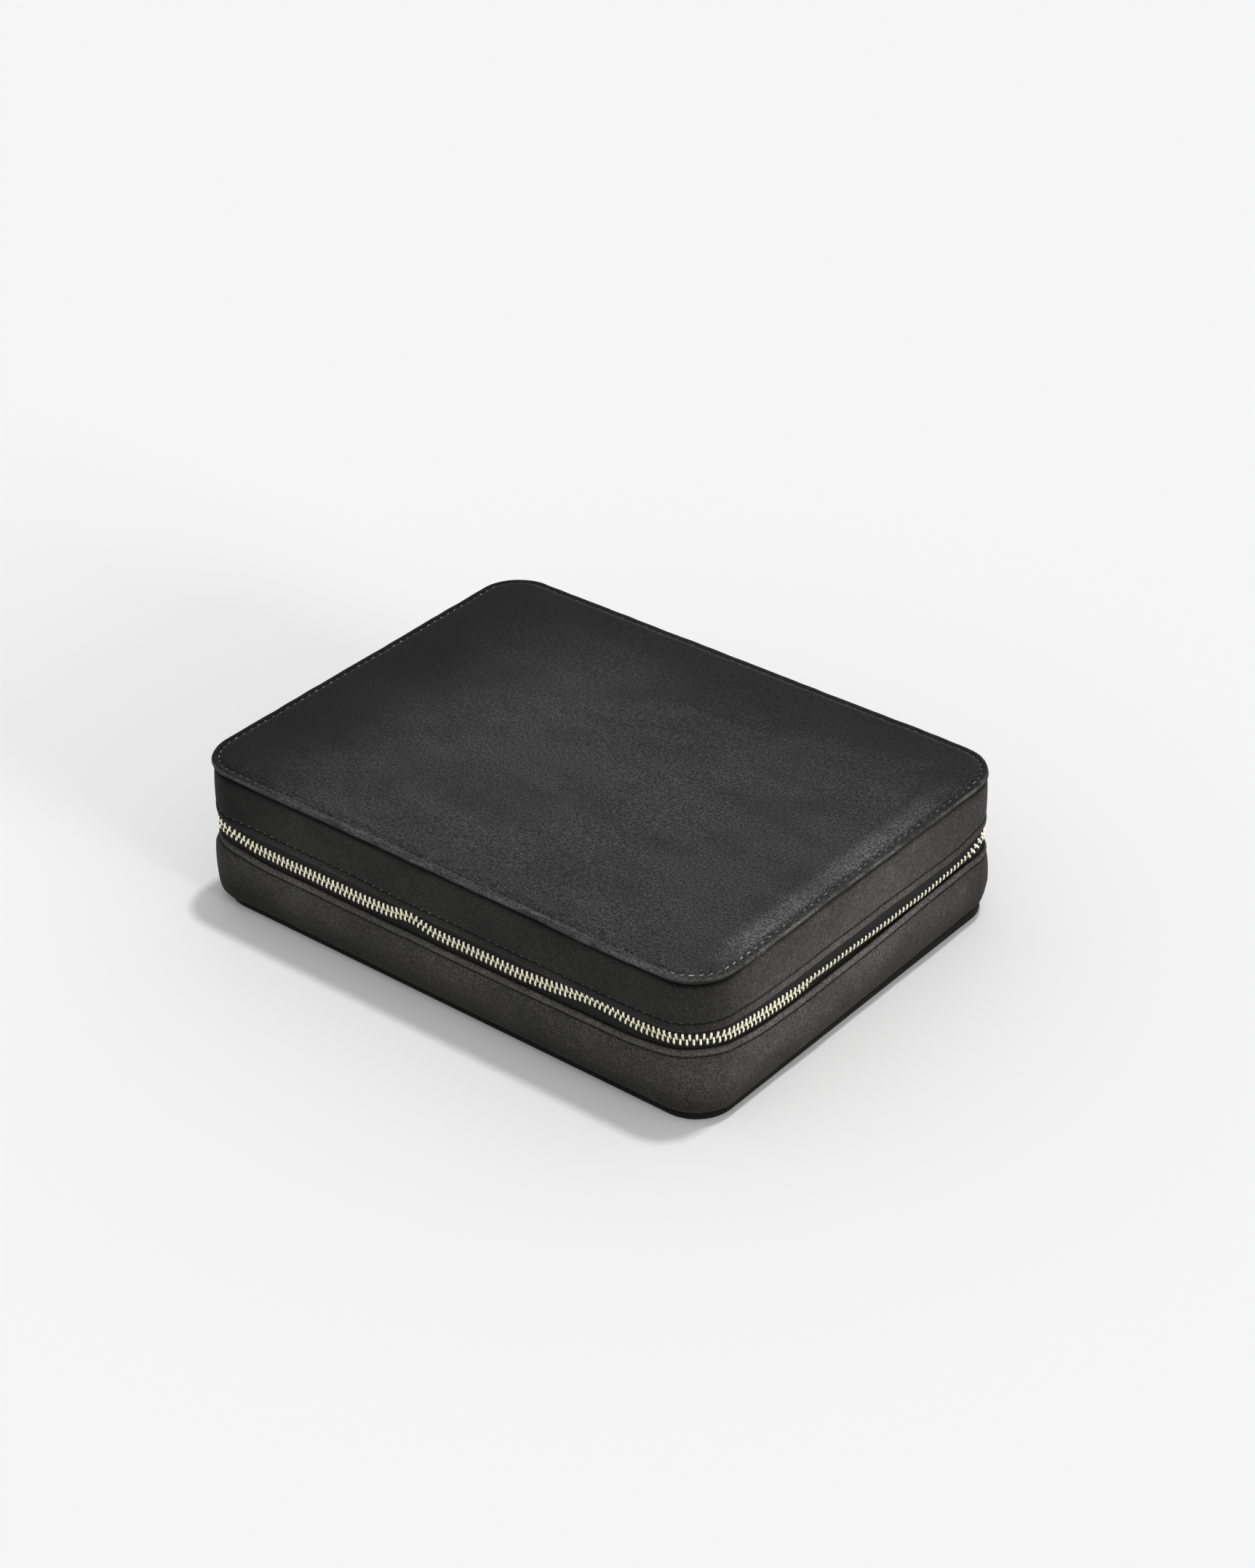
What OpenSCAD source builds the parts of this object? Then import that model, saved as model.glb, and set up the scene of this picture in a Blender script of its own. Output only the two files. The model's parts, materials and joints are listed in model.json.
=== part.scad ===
// Zip-around jewellery case in two board-stiffened halves, hinged along the back by a cloth spine.
// The long side runs along X, the hinge is at +Y, the front faces -Y and the case rests on z = 0.
// "Inset" is always measured inwards from the edge of the lid panel, seen from above.

/* [Case] */
// Length of the lid panel, left to right
case_length = 264.4; // [230:0.2:300]
// Depth of the lid panel, front to back
case_depth = 197; // [170:0.2:230]
// Height of the closed case
case_height = 66.3; // [62:0.1:80]
// Corner radius of the lid panel, seen from above
corner_radius = 19.4; // [16:0.1:28]
// Height of the line where the two halves meet
parting_height = 34.4; // [33:0.1:40]

/* [Covers] */
// How far the lid panel overhangs the side bands
lip_overhang = 0.8; // [0.6:0.1:1.3]
// Thickness of the lid panel
lid_panel_t = 2.1; // [1.6:0.1:3]
// Thickness of the base panel
base_panel_t = 3.4; // [3:0.1:5]
// How far the base panel's edge is set in
base_panel_inset = 2.6; // [1.4:0.1:3]
// Thickness of a side band where the zip tape lies behind it
band_t = 1.6; // [1.4:0.1:1.7]
// Gap between each band's folded edge and the parting line, below it
lower_band_gap = 6; // [5.6:0.1:6.4]
// The same gap above the parting line
upper_band_gap = 5.8; // [5.6:0.1:6.4]

/* [Stiffening] */
// Thickness of the stiffening boards
board_t = 2; // [1.6:0.1:2.2]
// Thickness of the foam under the lid panel
padding_t = 1.5; // [1:0.1:3]
// Thickness of the lining on floor and ceiling
lining_t = 1.2; // [0.8:0.1:1.6]

/* [Zip] */
// Thickness of the zip tape
tape_t = 0.7; // [0.5:0.1:0.8]
// How far the tape reaches behind each band
tape_overlap = 7.8; // [6:0.1:10]
// Width of the closed chain, over both rows of teeth
chain_w = 5.7; // [5.4:0.1:5.8]
// Distance between neighbouring teeth of one row
tooth_pitch = 2.5; // [2.4:0.01:2.6]
// Depth of a tooth, through the tape
tooth_depth = 2.6; // [2.2:0.1:2.6]
// Half length of the cloth spine along the back
spine_half = 98.5; // [60:0.5:99]
// Where the slider's middle stands on the left side, towards the back
slider_y = 66; // [0:1:66]
// Length of the pull tab below its pivot
pull_length = 25; // [15:1:26]

/* [Interior] */
// Width of the bay that holds the ring rolls
ring_bay_w = 84; // [70:1:84]
// Number of ring rolls
roll_count = 6; // [4:1:6]
// Height of the dividers' top edge above the rest face
divider_top = 30; // [24:0.5:31]
// Thickness of a lined divider
divider_t = 2.6; // [2:0.1:3.5]
// Distance of the long divider behind the middle
long_divider_y = 12; // [0:1:25]
// Length of the mirror in the lid
mirror_length = 170; // [100:1:190]
// Depth of the mirror in the lid
mirror_depth = 110; // [80:1:130]

/* [Hidden] */

cover_colour = "#2b2b2d";
lining_colour = "#8d8680";
board_colour = "#9a8f7c";
metal_colour = "#c9b48a";

// Layers of the wall, as insets
band_out = lip_overhang;
band_in = band_out + band_t;
tape_in = band_in + tape_t;
board_in = tape_in + board_t;
rim_setback = 0.5;
rim_t = 0.9;
rim_out = board_in + rim_setback;
lining_in = rim_out + rim_t;

// Heights
board_gap = 5.5;
lower_band_top = parting_height - lower_band_gap;
upper_band_bottom = parting_height + upper_band_gap;
lower_tape_bottom = lower_band_top - tape_overlap;
upper_tape_top = upper_band_bottom + tape_overlap;
lower_board_top = parting_height - board_gap;
upper_board_bottom = parting_height + board_gap;
base_board_top = base_panel_t + board_t;
floor_z = base_board_top + lining_t;
lid_panel_z = case_height - lid_panel_t;
lid_board_top = lid_panel_z - padding_t;
lid_board_z = lid_board_top - board_t;
ceiling_z = lid_board_z - lining_t;
rim_gap = 0.5;
leaf_gap = 0.15;
tape_end_gap = 0.2;

// The zip's path: a rounded rectangle that starts and ends beside the spine
run_x = case_length / 2 - corner_radius;
run_y = case_depth / 2 - corner_radius;
zip_inset = band_in + tape_t / 2;
path_r = corner_radius - zip_inset;
arc_length = PI * path_r / 2;
stop_w = 1.6;
stop_gap = 0.4;
stop_trim = 0.2;
zip_end_x = spine_half + stop_w + 2 * stop_gap;
tooth_root = 0.75;
tooth_head = 0.55;
mesh_depth = 0.5;
shoulder_z = -mesh_depth - 0.35;
head_z = -mesh_depth - 0.1;
lower_row_start = 0.4;
upper_row_start = 0.9;

// Half the size, travel at the start and length of each straight run: back, left, front, right, back
side_out = [case_depth, case_length, case_depth, case_length, case_depth] / 2;
run_start = [zip_end_x, -run_y, -run_x, -run_y, -run_x];
run_length = [run_x - zip_end_x, 2 * run_y, 2 * run_x, 2 * run_y, run_x - zip_end_x];
corner_side = [[-1, 1], [-1, -1], [1, -1], [1, 1]];
zip_length = 2 * (run_x - zip_end_x) + 4 * run_y + 2 * run_x + 4 * arc_length;

// Pose [x, y, outward angle] at a distance s along straight run i or the corner after it
function run_pose(i, s) =
    let (out = 90 + 90 * i, far = side_out[i] - zip_inset, along = run_start[i] + s)
    [far * cos(out) - along * sin(out), far * sin(out) + along * cos(out), out];
function corner_pose(i, s) =
    let (out = 90 + 90 * i + 90 * s / arc_length)
    [run_x * corner_side[i][0] + path_r * cos(out), run_y * corner_side[i][1] + path_r * sin(out), out];
function zip_pose(s, i = 0) =
    s <= run_length[i] ? run_pose(i, s)
    : s <= run_length[i] + arc_length ? corner_pose(i, s - run_length[i])
    : zip_pose(s - run_length[i] - arc_length, i + 1);

// The slider, about its own middle, with x as the inset
slider_half_l = 6.5;
slider_mouth_l = 2.5;
slider_front_w = 4.9;
slider_rear_w = 4;
slider_plate_t = 1;
plate_gap_out = 0.3;
plate_gap_in = 0.25;
slider_out = zip_inset - tooth_depth / 2 - plate_gap_out - slider_plate_t;
slider_in = zip_inset + tooth_depth / 2 + plate_gap_in;
inner_plate_t = 0.9;
tape_slack = 0.3;
inner_flange_t = slider_in - tape_in - tape_slack;
flange_z = chain_w / 2 + 0.35;
neck_start = 4;
neck_tip_l = 1;
neck_half_w = 1.6;
neck_clearance = 2.4;
pivot_x = slider_out - 2.4;
pivot_r = 0.7;
post_y = 1.7;
post_t = 1.2;
post_r = 1.1;
knuckle_r = 1.45;
knuckle_half = 1.5;
running_gap = 0.06;

// The pull tab, hanging from its pivot
pull_t = 1.2;
pull_neck_l = 3;
pull_shoulder_l = 7;
pull_shoulder_half_w = 3.2;
pull_half_w = 3.8;
pull_tip_l = 4;
pull_tip_half_w = 2.4;
pull_hole_r = 1.6;
pull_hole_from_tip = 4.5;

// A tooth inside the slider's neck is left out
function clear_of_neck(pose) =
    pose[0] > 0 || abs(pose[1]) > run_y
    || abs(pose[1] - slider_y - (neck_start + slider_half_l) / 2) > neck_clearance;

// Interior places
inner_x = case_length / 2 - lining_in;
inner_y = case_depth / 2 - lining_in;
bay_wall_x = ring_bay_w - inner_x;
cell_x = bay_wall_x + divider_t;
roll_pitch = ring_bay_w / roll_count;
roll_gap = 0.4;
roll_r = roll_pitch / 2 - roll_gap;
mirror_t = 2;
frame_w = 6;
frame_t = 2.4;

// Rounded rectangle at a given inset from the lid panel's edge
module outline(inset) {
    r = corner_radius - inset;
    square([case_length - 2 * inset, 2 * run_y], center = true);
    square([2 * run_x, case_depth - 2 * inset], center = true);
    for (side = corner_side)
        translate([side[0] * run_x, side[1] * run_y])
            circle(r = r, $fn = 96);
}

module ring_2d(outer, inner) {
    difference() {
        outline(outer);
        outline(inner);
    }
}

module slab(inset, z, t) {
    translate([0, 0, z])
        linear_extrude(t)
            outline(inset);
}

module ring(outer, inner, z, z_end) {
    translate([0, 0, z])
        linear_extrude(z_end - z)
            ring_2d(outer, inner);
}

// The stretch of the back that the spine covers
module spine_window(half) {
    translate([-half, case_depth / 4])
        square([2 * half, case_depth / 2]);
}

module spine_strip(outer, inner, z, z_end) {
    translate([0, 0, z])
        linear_extrude(z_end - z)
            intersection() {
                ring_2d(outer, inner);
                spine_window(spine_half);
            }
}

module tape_strip(z, z_end) {
    translate([0, 0, z])
        linear_extrude(z_end - z)
            difference() {
                ring_2d(band_in, tape_in);
                spine_window(spine_half + tape_end_gap);
            }
}

module tooth() {
    root_z = -chain_w / 2;
    rotate([90, 0, 90])
        linear_extrude(tooth_depth, center = true)
            polygon([
                [-tooth_root, root_z], [tooth_root, root_z],
                [tooth_root, shoulder_z], [tooth_head, head_z],
                [tooth_head, mesh_depth], [-tooth_head, mesh_depth],
                [-tooth_head, head_z], [-tooth_root, shoulder_z]
            ]);
}

// A row of teeth that points up, starting at a share of one pitch
module tooth_row(start) {
    for (s = [start * tooth_pitch : tooth_pitch : zip_length - tooth_root])
        let (pose = zip_pose(s))
            if (clear_of_neck(pose))
                translate([pose[0], pose[1], 0])
                    rotate(pose[2])
                        tooth();
}

module stop_pair() {
    stop_x = spine_half + stop_gap + stop_w / 2;
    for (side = [-1, 1])
        translate([side * stop_x, case_depth / 2 - zip_inset, -chain_w / 4 - stop_trim])
            cube([stop_w, tooth_depth, chain_w / 2 - 2 * stop_trim], center = true);
}

module base_panel()
    color(cover_colour)
        slab(base_panel_inset, 0, base_panel_t);

module base_floor_board()
    color(board_colour)
        slab(tape_in, base_panel_t, board_t);

module base_band()
    color(cover_colour) {
        ring(band_out, tape_in, base_panel_t, lower_tape_bottom);
        ring(band_out, band_in, lower_tape_bottom, lower_band_top);
    }

module base_wall_board()
    color(board_colour)
        ring(tape_in, board_in, base_board_top, lower_board_top);

module base_wall_lining()
    color(lining_colour) {
        ring(board_in, lining_in, floor_z, lower_board_top);
        ring(rim_out, lining_in, lower_board_top, parting_height - rim_gap);
    }

module base_floor_lining()
    color(lining_colour)
        slab(board_in, base_board_top, lining_t);

module spine_lower_leaf()
    color(cover_colour) {
        spine_strip(band_out, band_in, lower_band_top, parting_height - leaf_gap);
        spine_strip(band_in, tape_in, lower_tape_bottom, parting_height - leaf_gap);
    }

module zip_tape_lower()
    color("#161616")
        tape_strip(lower_tape_bottom, parting_height - chain_w / 2);

module zip_teeth_lower()
    color(metal_colour)
        translate([0, 0, parting_height])
            tooth_row(lower_row_start);

module zip_stops_lower()
    color(metal_colour)
        translate([0, 0, parting_height])
            stop_pair();

// The rolls, trimmed to the rounded corners of the lining
module ring_rolls()
    color(lining_colour)
        intersection() {
            slab(lining_in + roll_gap, floor_z, divider_top - floor_z);
            for (i = [0 : roll_count - 1])
                translate([-inner_x + (i + 0.5) * roll_pitch, inner_y, floor_z])
                    rotate([90, 0, 0])
                        linear_extrude(2 * inner_y) {
                            translate([0, divider_top - floor_z - roll_r])
                                circle(r = roll_r, $fn = 48);
                            translate([-roll_r, 0])
                                square([2 * roll_r, divider_top - floor_z - roll_r]);
                        }
        }

module ring_bay_wall()
    color(lining_colour)
        translate([bay_wall_x, -inner_y, floor_z])
            cube([divider_t, 2 * inner_y, divider_top - floor_z]);

module long_divider()
    color(lining_colour)
        translate([cell_x, long_divider_y, floor_z])
            cube([inner_x - cell_x, divider_t, divider_top - floor_z]);

// One divider behind the long one and two in front of it
module cross_dividers()
    color(lining_colour) {
        cell_span = inner_x - cell_x;
        back_y = long_divider_y + divider_t;
        translate([cell_x + (cell_span - divider_t) / 2, back_y, floor_z])
            cube([divider_t, inner_y - back_y, divider_top - floor_z]);
        for (i = [1, 2])
            translate([cell_x + i * cell_span / 3 - divider_t / 2, -inner_y, floor_z])
                cube([divider_t, inner_y + long_divider_y, divider_top - floor_z]);
    }

module lid_panel()
    color(cover_colour)
        slab(0, lid_panel_z, lid_panel_t);

module lid_padding()
    color("#d8d3c4")
        slab(tape_in, lid_board_top, padding_t);

module lid_board()
    color(board_colour)
        slab(tape_in, lid_board_z, board_t);

module lid_band()
    color(cover_colour) {
        ring(band_out, tape_in, upper_tape_top, lid_panel_z);
        ring(band_out, band_in, upper_band_bottom, upper_tape_top);
    }

module lid_wall_board()
    color(board_colour)
        ring(tape_in, board_in, upper_board_bottom, lid_board_z);

module lid_wall_lining()
    color(lining_colour) {
        ring(board_in, lining_in, upper_board_bottom, ceiling_z);
        ring(rim_out, lining_in, parting_height + rim_gap, upper_board_bottom);
    }

module lid_ceiling_lining()
    color(lining_colour)
        slab(board_in, ceiling_z, lining_t);

module spine_upper_leaf()
    color(cover_colour) {
        spine_strip(band_out, band_in, parting_height + leaf_gap, upper_band_bottom);
        spine_strip(band_in, tape_in, parting_height + leaf_gap, upper_tape_top);
    }

module zip_tape_upper()
    color("#161616")
        tape_strip(parting_height + chain_w / 2, upper_tape_top);

module zip_teeth_upper()
    color(metal_colour)
        translate([0, 0, parting_height])
            mirror([0, 0, 1])
                tooth_row(upper_row_start);

module zip_stops_upper()
    color(metal_colour)
        translate([0, 0, parting_height])
            mirror([0, 0, 1])
                stop_pair();

module mirror_glass()
    color("#cfd6da")
        translate([0, 0, ceiling_z - mirror_t / 2])
            cube([mirror_length, mirror_depth, mirror_t], center = true);

// A lined frame that holds the mirror all round
module mirror_frame()
    color(lining_colour)
        translate([0, 0, ceiling_z - frame_t])
            linear_extrude(frame_t)
                difference() {
                    square([mirror_length + 2 * frame_w, mirror_depth + 2 * frame_w], center = true);
                    square([mirror_length, mirror_depth], center = true);
                }

// Outline of a slider plate along the chain: wide at the mouth, narrower behind
module slider_outline() {
    mouth_start = slider_half_l - slider_mouth_l;
    polygon([
        [-slider_half_l, -slider_rear_w], [0, -slider_rear_w],
        [mouth_start, -slider_front_w], [slider_half_l, -slider_front_w],
        [slider_half_l, slider_front_w], [mouth_start, slider_front_w],
        [0, slider_rear_w], [-slider_half_l, slider_rear_w]
    ]);
}

// Extrudes an outline drawn in (y, z) from one inset to another
module across(x, x_end) {
    translate([x, 0, 0])
        rotate([90, 0, 90])
            linear_extrude(x_end - x)
                children();
}

module slider_flanges() {
    difference() {
        slider_outline();
        square([3 * slider_half_l, 2 * flange_z], center = true);
    }
}

module along_y(half_length, r) {
    rotate([90, 0, 0])
        cylinder(h = 2 * half_length, r = r, center = true, $fn = 48);
}

module at_slider()
    translate([-case_length / 2, slider_y, parting_height])
        children();

module zip_slider()
    color(metal_colour)
        at_slider() {
            outer_in = slider_out + slider_plate_t;
            neck_wide = slider_half_l - neck_tip_l;
            across(slider_out, outer_in)
                slider_outline();
            across(slider_in - inner_flange_t, slider_in)
                slider_flanges();
            across(outer_in, band_in - tape_slack)
                slider_flanges();
            across(slider_in, slider_in + inner_plate_t)
                slider_outline();
            across(outer_in, slider_in)
                polygon([
                    [neck_start, 0], [neck_wide, -neck_half_w], [slider_half_l, -neck_half_w],
                    [slider_half_l, neck_half_w], [neck_wide, neck_half_w]
                ]);
            for (side = [-1, 1])
                translate([0, side * (post_y + post_t / 2), 0]) {
                    translate([pivot_x, -post_t / 2, -post_r])
                        cube([slider_out - pivot_x, post_t, 2 * post_r]);
                    translate([pivot_x, 0, 0])
                        along_y(post_t / 2, post_r);
                }
            translate([pivot_x, 0, 0])
                along_y(post_y + post_t / 2, pivot_r);
        }

// Right half of the pull tab's outline in (y, z), from the pivot down to the tip
pull_edge = [
    [knuckle_half, 0], [knuckle_half, -pull_neck_l], [pull_shoulder_half_w, -pull_shoulder_l],
    [pull_half_w, pull_tip_l - pull_length], [pull_tip_half_w, -pull_length]
];

module pull_tab() {
    across(-pull_t / 2, pull_t / 2)
        for (side = [-1, 1])
            polygon([for (p = concat([[0, 0]], pull_edge, [[0, -pull_length]])) [side * p[0], p[1]]]);
}

module zip_pull()
    color(metal_colour)
        at_slider()
            translate([pivot_x, 0, 0])
                difference() {
                    union() {
                        along_y(knuckle_half, knuckle_r);
                        pull_tab();
                    }
                    along_y(knuckle_half + 1, pivot_r + running_gap);
                    translate([0, 0, pull_hole_from_tip - pull_length])
                        rotate([0, 90, 0])
                            cylinder(h = 2 * pull_t, r = pull_hole_r, center = true, $fn = 48);
                }

base_panel();
base_floor_board();
base_band();
base_wall_board();
base_wall_lining();
base_floor_lining();
spine_lower_leaf();
zip_tape_lower();
zip_teeth_lower();
zip_stops_lower();
ring_rolls();
ring_bay_wall();
long_divider();
cross_dividers();
lid_panel();
lid_padding();
lid_board();
lid_band();
lid_wall_board();
lid_wall_lining();
lid_ceiling_lining();
spine_upper_leaf();
zip_tape_upper();
zip_teeth_upper();
zip_stops_upper();
mirror_glass();
mirror_frame();
zip_slider();
zip_pull();
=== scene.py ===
import json
import math
from contextlib import contextmanager

import bmesh
import bpy
import numpy as np
from mathutils import Matrix, Vector, noise


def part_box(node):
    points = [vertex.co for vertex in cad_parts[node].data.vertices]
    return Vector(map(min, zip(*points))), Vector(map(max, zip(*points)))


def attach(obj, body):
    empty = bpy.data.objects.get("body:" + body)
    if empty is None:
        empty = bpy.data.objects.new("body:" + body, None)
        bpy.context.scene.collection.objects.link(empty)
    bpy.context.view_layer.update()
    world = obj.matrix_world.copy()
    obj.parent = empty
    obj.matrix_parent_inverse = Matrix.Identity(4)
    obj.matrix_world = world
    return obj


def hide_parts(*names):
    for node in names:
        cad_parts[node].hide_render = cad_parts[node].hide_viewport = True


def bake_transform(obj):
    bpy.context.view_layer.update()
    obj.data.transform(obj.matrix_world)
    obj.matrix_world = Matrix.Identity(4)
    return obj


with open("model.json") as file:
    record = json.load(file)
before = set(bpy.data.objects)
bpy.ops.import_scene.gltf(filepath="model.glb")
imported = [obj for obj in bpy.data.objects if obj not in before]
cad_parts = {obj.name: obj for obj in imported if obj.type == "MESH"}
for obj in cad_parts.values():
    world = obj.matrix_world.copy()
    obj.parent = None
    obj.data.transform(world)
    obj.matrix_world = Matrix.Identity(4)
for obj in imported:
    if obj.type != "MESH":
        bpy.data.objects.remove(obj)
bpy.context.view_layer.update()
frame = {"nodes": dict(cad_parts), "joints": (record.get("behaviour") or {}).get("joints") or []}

# ---------------------------------------------------------------- measures
MM = 0.001
panel_low, panel_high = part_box("lid_panel")
HALF_X, HALF_Y = panel_high.x, panel_high.y
TOP, LIP = panel_high.z, panel_low.z
panel_points = np.array([v.co for v in frame["nodes"]["lid_panel"].data.vertices])
on_right_edge = panel_points[panel_points[:, 0] > HALF_X - 0.01 * MM]
RUN_Y = np.abs(on_right_edge[:, 1]).max()
CORNER_R = HALF_Y - RUN_Y
RUN_X = HALF_X - CORNER_R


def inset_of(node):
    """How far a node's outer wall stands in from the lid panel's edge."""
    return HALF_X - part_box(node)[1].x


BAND = inset_of("lid_band")
TAPE = inset_of("zip_tape_upper")
BOARD = inset_of("lid_wall_board")
LINING = inset_of("lid_wall_lining")
BASE_PANEL = inset_of("base_panel")
UPPER_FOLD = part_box("lid_band")[0].z
LOWER_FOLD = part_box("base_band")[1].z
BASE_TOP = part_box("base_panel")[1].z
HINGE = Vector(next(j["pos_m"] for j in frame["joints"] if j["name"] == "lid_hinge"))
PARTING = HINGE.z
SPINE_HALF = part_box("spine_lower_leaf")[1].x
STITCH_PITCH = 4.3 * MM
PANEL_STITCH = 3.1 * MM
LID_STITCH_Z = UPPER_FOLD + 4.2 * MM
BASE_STITCH_Z = LOWER_FOLD - 3.0 * MM


# ---------------------------------------------------------------- the outline
def segments(inset):
    """Runs of the rounded outline at an inset, from mid back by the left, the front and the right."""
    arc = math.pi / 2 * (CORNER_R - inset)
    return np.array([RUN_X, arc, 2 * RUN_Y, arc, 2 * RUN_X, arc, 2 * RUN_Y, arc, RUN_X])


def perimeter(inset):
    return segments(inset).sum()


def outline(s, inset, measured_at=None):
    """Points and outward normals at distances s, which are measured along the outline at measured_at."""
    runs = segments(inset if measured_at is None else measured_at)
    ends = np.cumsum(runs)
    s = np.mod(np.atleast_1d(s).astype(float), ends[-1])
    k = np.minimum(np.searchsorted(ends, s, side="right"), 8)
    into = s - (ends - runs)[k]
    side = (k + 1) // 2
    angle = math.pi / 2 * (1 + side) + np.where(k % 2, -math.pi / 2 + math.pi / 2 * into / runs[k], 0)
    normal = np.stack([np.cos(angle), np.sin(angle)], 1)
    across = np.stack([-normal[:, 1], normal[:, 0]], 1)
    far = np.where(side % 2 == 0, RUN_Y, RUN_X)
    start = np.where(k == 0, 0.0, np.where(side % 2 == 0, -RUN_X, -RUN_Y))
    straight = normal * far[:, None] + across * (start + into)[:, None]
    corners = np.array([[-RUN_X, RUN_Y], [-RUN_X, -RUN_Y], [RUN_X, -RUN_Y], [RUN_X, RUN_Y]])
    skeleton = np.where((k % 2 == 1)[:, None], corners[np.minimum(k // 2, 3)], straight)
    return skeleton + normal * (CORNER_R - inset), normal


RUNS = segments(0)
EDGE_LENGTH = RUNS.sum()
FRONT_LEFT, NEAR, BACK_RIGHT = (RUNS[:k].sum() + RUNS[k] / 2 for k in (3, 5, 7))
STITCHES = round(EDGE_LENGTH / STITCH_PITCH)


def edge_distance(x, y):
    """How far a point lies inside the lid panel's edge."""
    qx, qy = np.abs(x) - RUN_X, np.abs(y) - RUN_Y
    outside = np.hypot(np.maximum(qx, 0), np.maximum(qy, 0)) + np.minimum(np.maximum(qx, qy), 0)
    return CORNER_R - outside


def ripple(s, seed, waves, amount):
    """A smooth ripple along the panel's edge: the given numbers of waves, with seeded phases, and amount
    in millimetres."""
    phase = np.random.default_rng(seed).uniform(0, 2 * math.pi, len(waves))
    total = sum(np.sin(2 * math.pi * n * s / EDGE_LENGTH + p) for n, p in zip(waves, phase))
    return amount * MM * total / len(waves)


def bump_at(s, middle, width, height):
    """A soft bump about the place middle; width and height are in millimetres."""
    return height * MM * np.exp(-(((s - middle) / (width * MM)) ** 2))


def around(inset, z, *points):
    """Profile points that are given in millimetres from an inset and a height."""
    return [(inset + aside * MM, z + above * MM) for aside, above in points]


def girth(profile):
    """Distances along a profile up to each of its points."""
    return np.cumsum([0.0] + [math.dist(a, b) for a, b in zip(profile, profile[1:])])


# ---------------------------------------------------------------- mesh building
CLOTH_UV = "cloth"


@contextmanager
def open_mesh(piece):
    """Opens a piece's mesh for edits, and turns its faces outwards after them."""
    bm = bmesh.new()
    bm.from_mesh(piece.data)
    yield bm
    bmesh.ops.recalc_face_normals(bm, faces=bm.faces)
    bm.to_mesh(piece.data)
    bm.free()


def new_object(name, verts, faces, material, body, slot, replaces=(), uvs=None):
    """A smooth piece on a body of the frame; replaces names the CAD nodes it stands for."""
    mesh = bpy.data.meshes.new(name)
    mesh.from_pydata([tuple(v) for v in verts], [], [tuple(int(i) for i in f) for f in faces])
    if uvs is not None:
        layer = mesh.uv_layers.new(name=CLOTH_UV)
        layer.data.foreach_set("uv", np.asarray(uvs, np.float32).ravel())
    mesh.validate()
    mesh.shade_smooth()
    piece = bpy.data.objects.new(name, mesh)
    bpy.context.scene.collection.objects.link(piece)
    mesh.materials.append(material)
    with open_mesh(piece) as bm:
        bmesh.ops.remove_doubles(bm, verts=bm.verts, dist=1e-7)
    if body:
        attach(piece, body)
    if replaces:
        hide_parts(*replaces)
    return piece


def fill_holes(piece):
    """Closes a piece's open loops with flat faces."""
    with open_mesh(piece) as bm:
        bmesh.ops.holes_fill(bm, edges=[e for e in bm.edges if e.is_boundary], sides=0)
        bmesh.ops.triangulate(bm, faces=[f for f in bm.faces if len(f.verts) > 4])


def grid_faces(rows, columns, wrap_rows=False, wrap_columns=False, caps=False):
    """Quads of a grid of vertices that are numbered along its columns first. caps closes the first and last
    row with a face."""
    faces = []
    for i in range(rows if wrap_rows else rows - 1):
        for j in range(columns if wrap_columns else columns - 1):
            a, b = i, (i + 1) % rows
            c, d = j, (j + 1) % columns
            faces.append((a * columns + c, b * columns + c, b * columns + d, a * columns + d))
    if caps:
        faces += [tuple(range(columns)), tuple(range((rows - 1) * columns, rows * columns))]
    return faces


def loft(rings):
    """Points and faces of a solid that runs through rings of points."""
    return np.concatenate(rings), grid_faces(len(rings), len(rings[0]), wrap_columns=True, caps=True)


def merged(copies, faces):
    """The points and faces of one mesh that holds all copies of a shape."""
    size = len(copies[0])
    every_face = [tuple(i * size + k for k in face) for i in range(len(copies)) for face in faces]
    return np.concatenate(copies), every_face


def middle_line(edge):
    """Where rings that shrink from an edge of the panel's shape end, on the panel's middle line."""
    return np.column_stack([np.clip(edge[:, 0], RUN_Y - RUN_X, RUN_X - RUN_Y), np.zeros(len(edge))])


def grid_uvs(faces, columns, along, across, loop):
    """Where each face corner lies on the cloth; a face that closes the loop ends at the loop's length."""
    uvs = []
    for face in faces:
        rows = [i // columns for i in face]
        wraps = max(rows) - min(rows) > 1
        cols = [i % columns for i in face]
        turns = max(cols) - min(cols) > 1
        for row, col in zip(rows, cols):
            u = along[row] + (loop if wraps and row == 0 else 0)
            v = across[-1] if turns and col == 0 else across[col]
            uvs.append((u, v))
    return uvs


def stations(step=2.2 * MM, corner_steps=18):
    """Distances along the panel's edge: even steps on the straights, even turns in the corners."""
    out, start = [], 0.0
    for k, run in enumerate(RUNS):
        halves = round((run if k in (0, 8) else run / 2) / step)
        n = corner_steps if k % 2 else max(1, halves if k in (0, 8) else 2 * halves)
        out += list(start + run * np.arange(n) / n)
        start += run
    return np.array(out)


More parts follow.
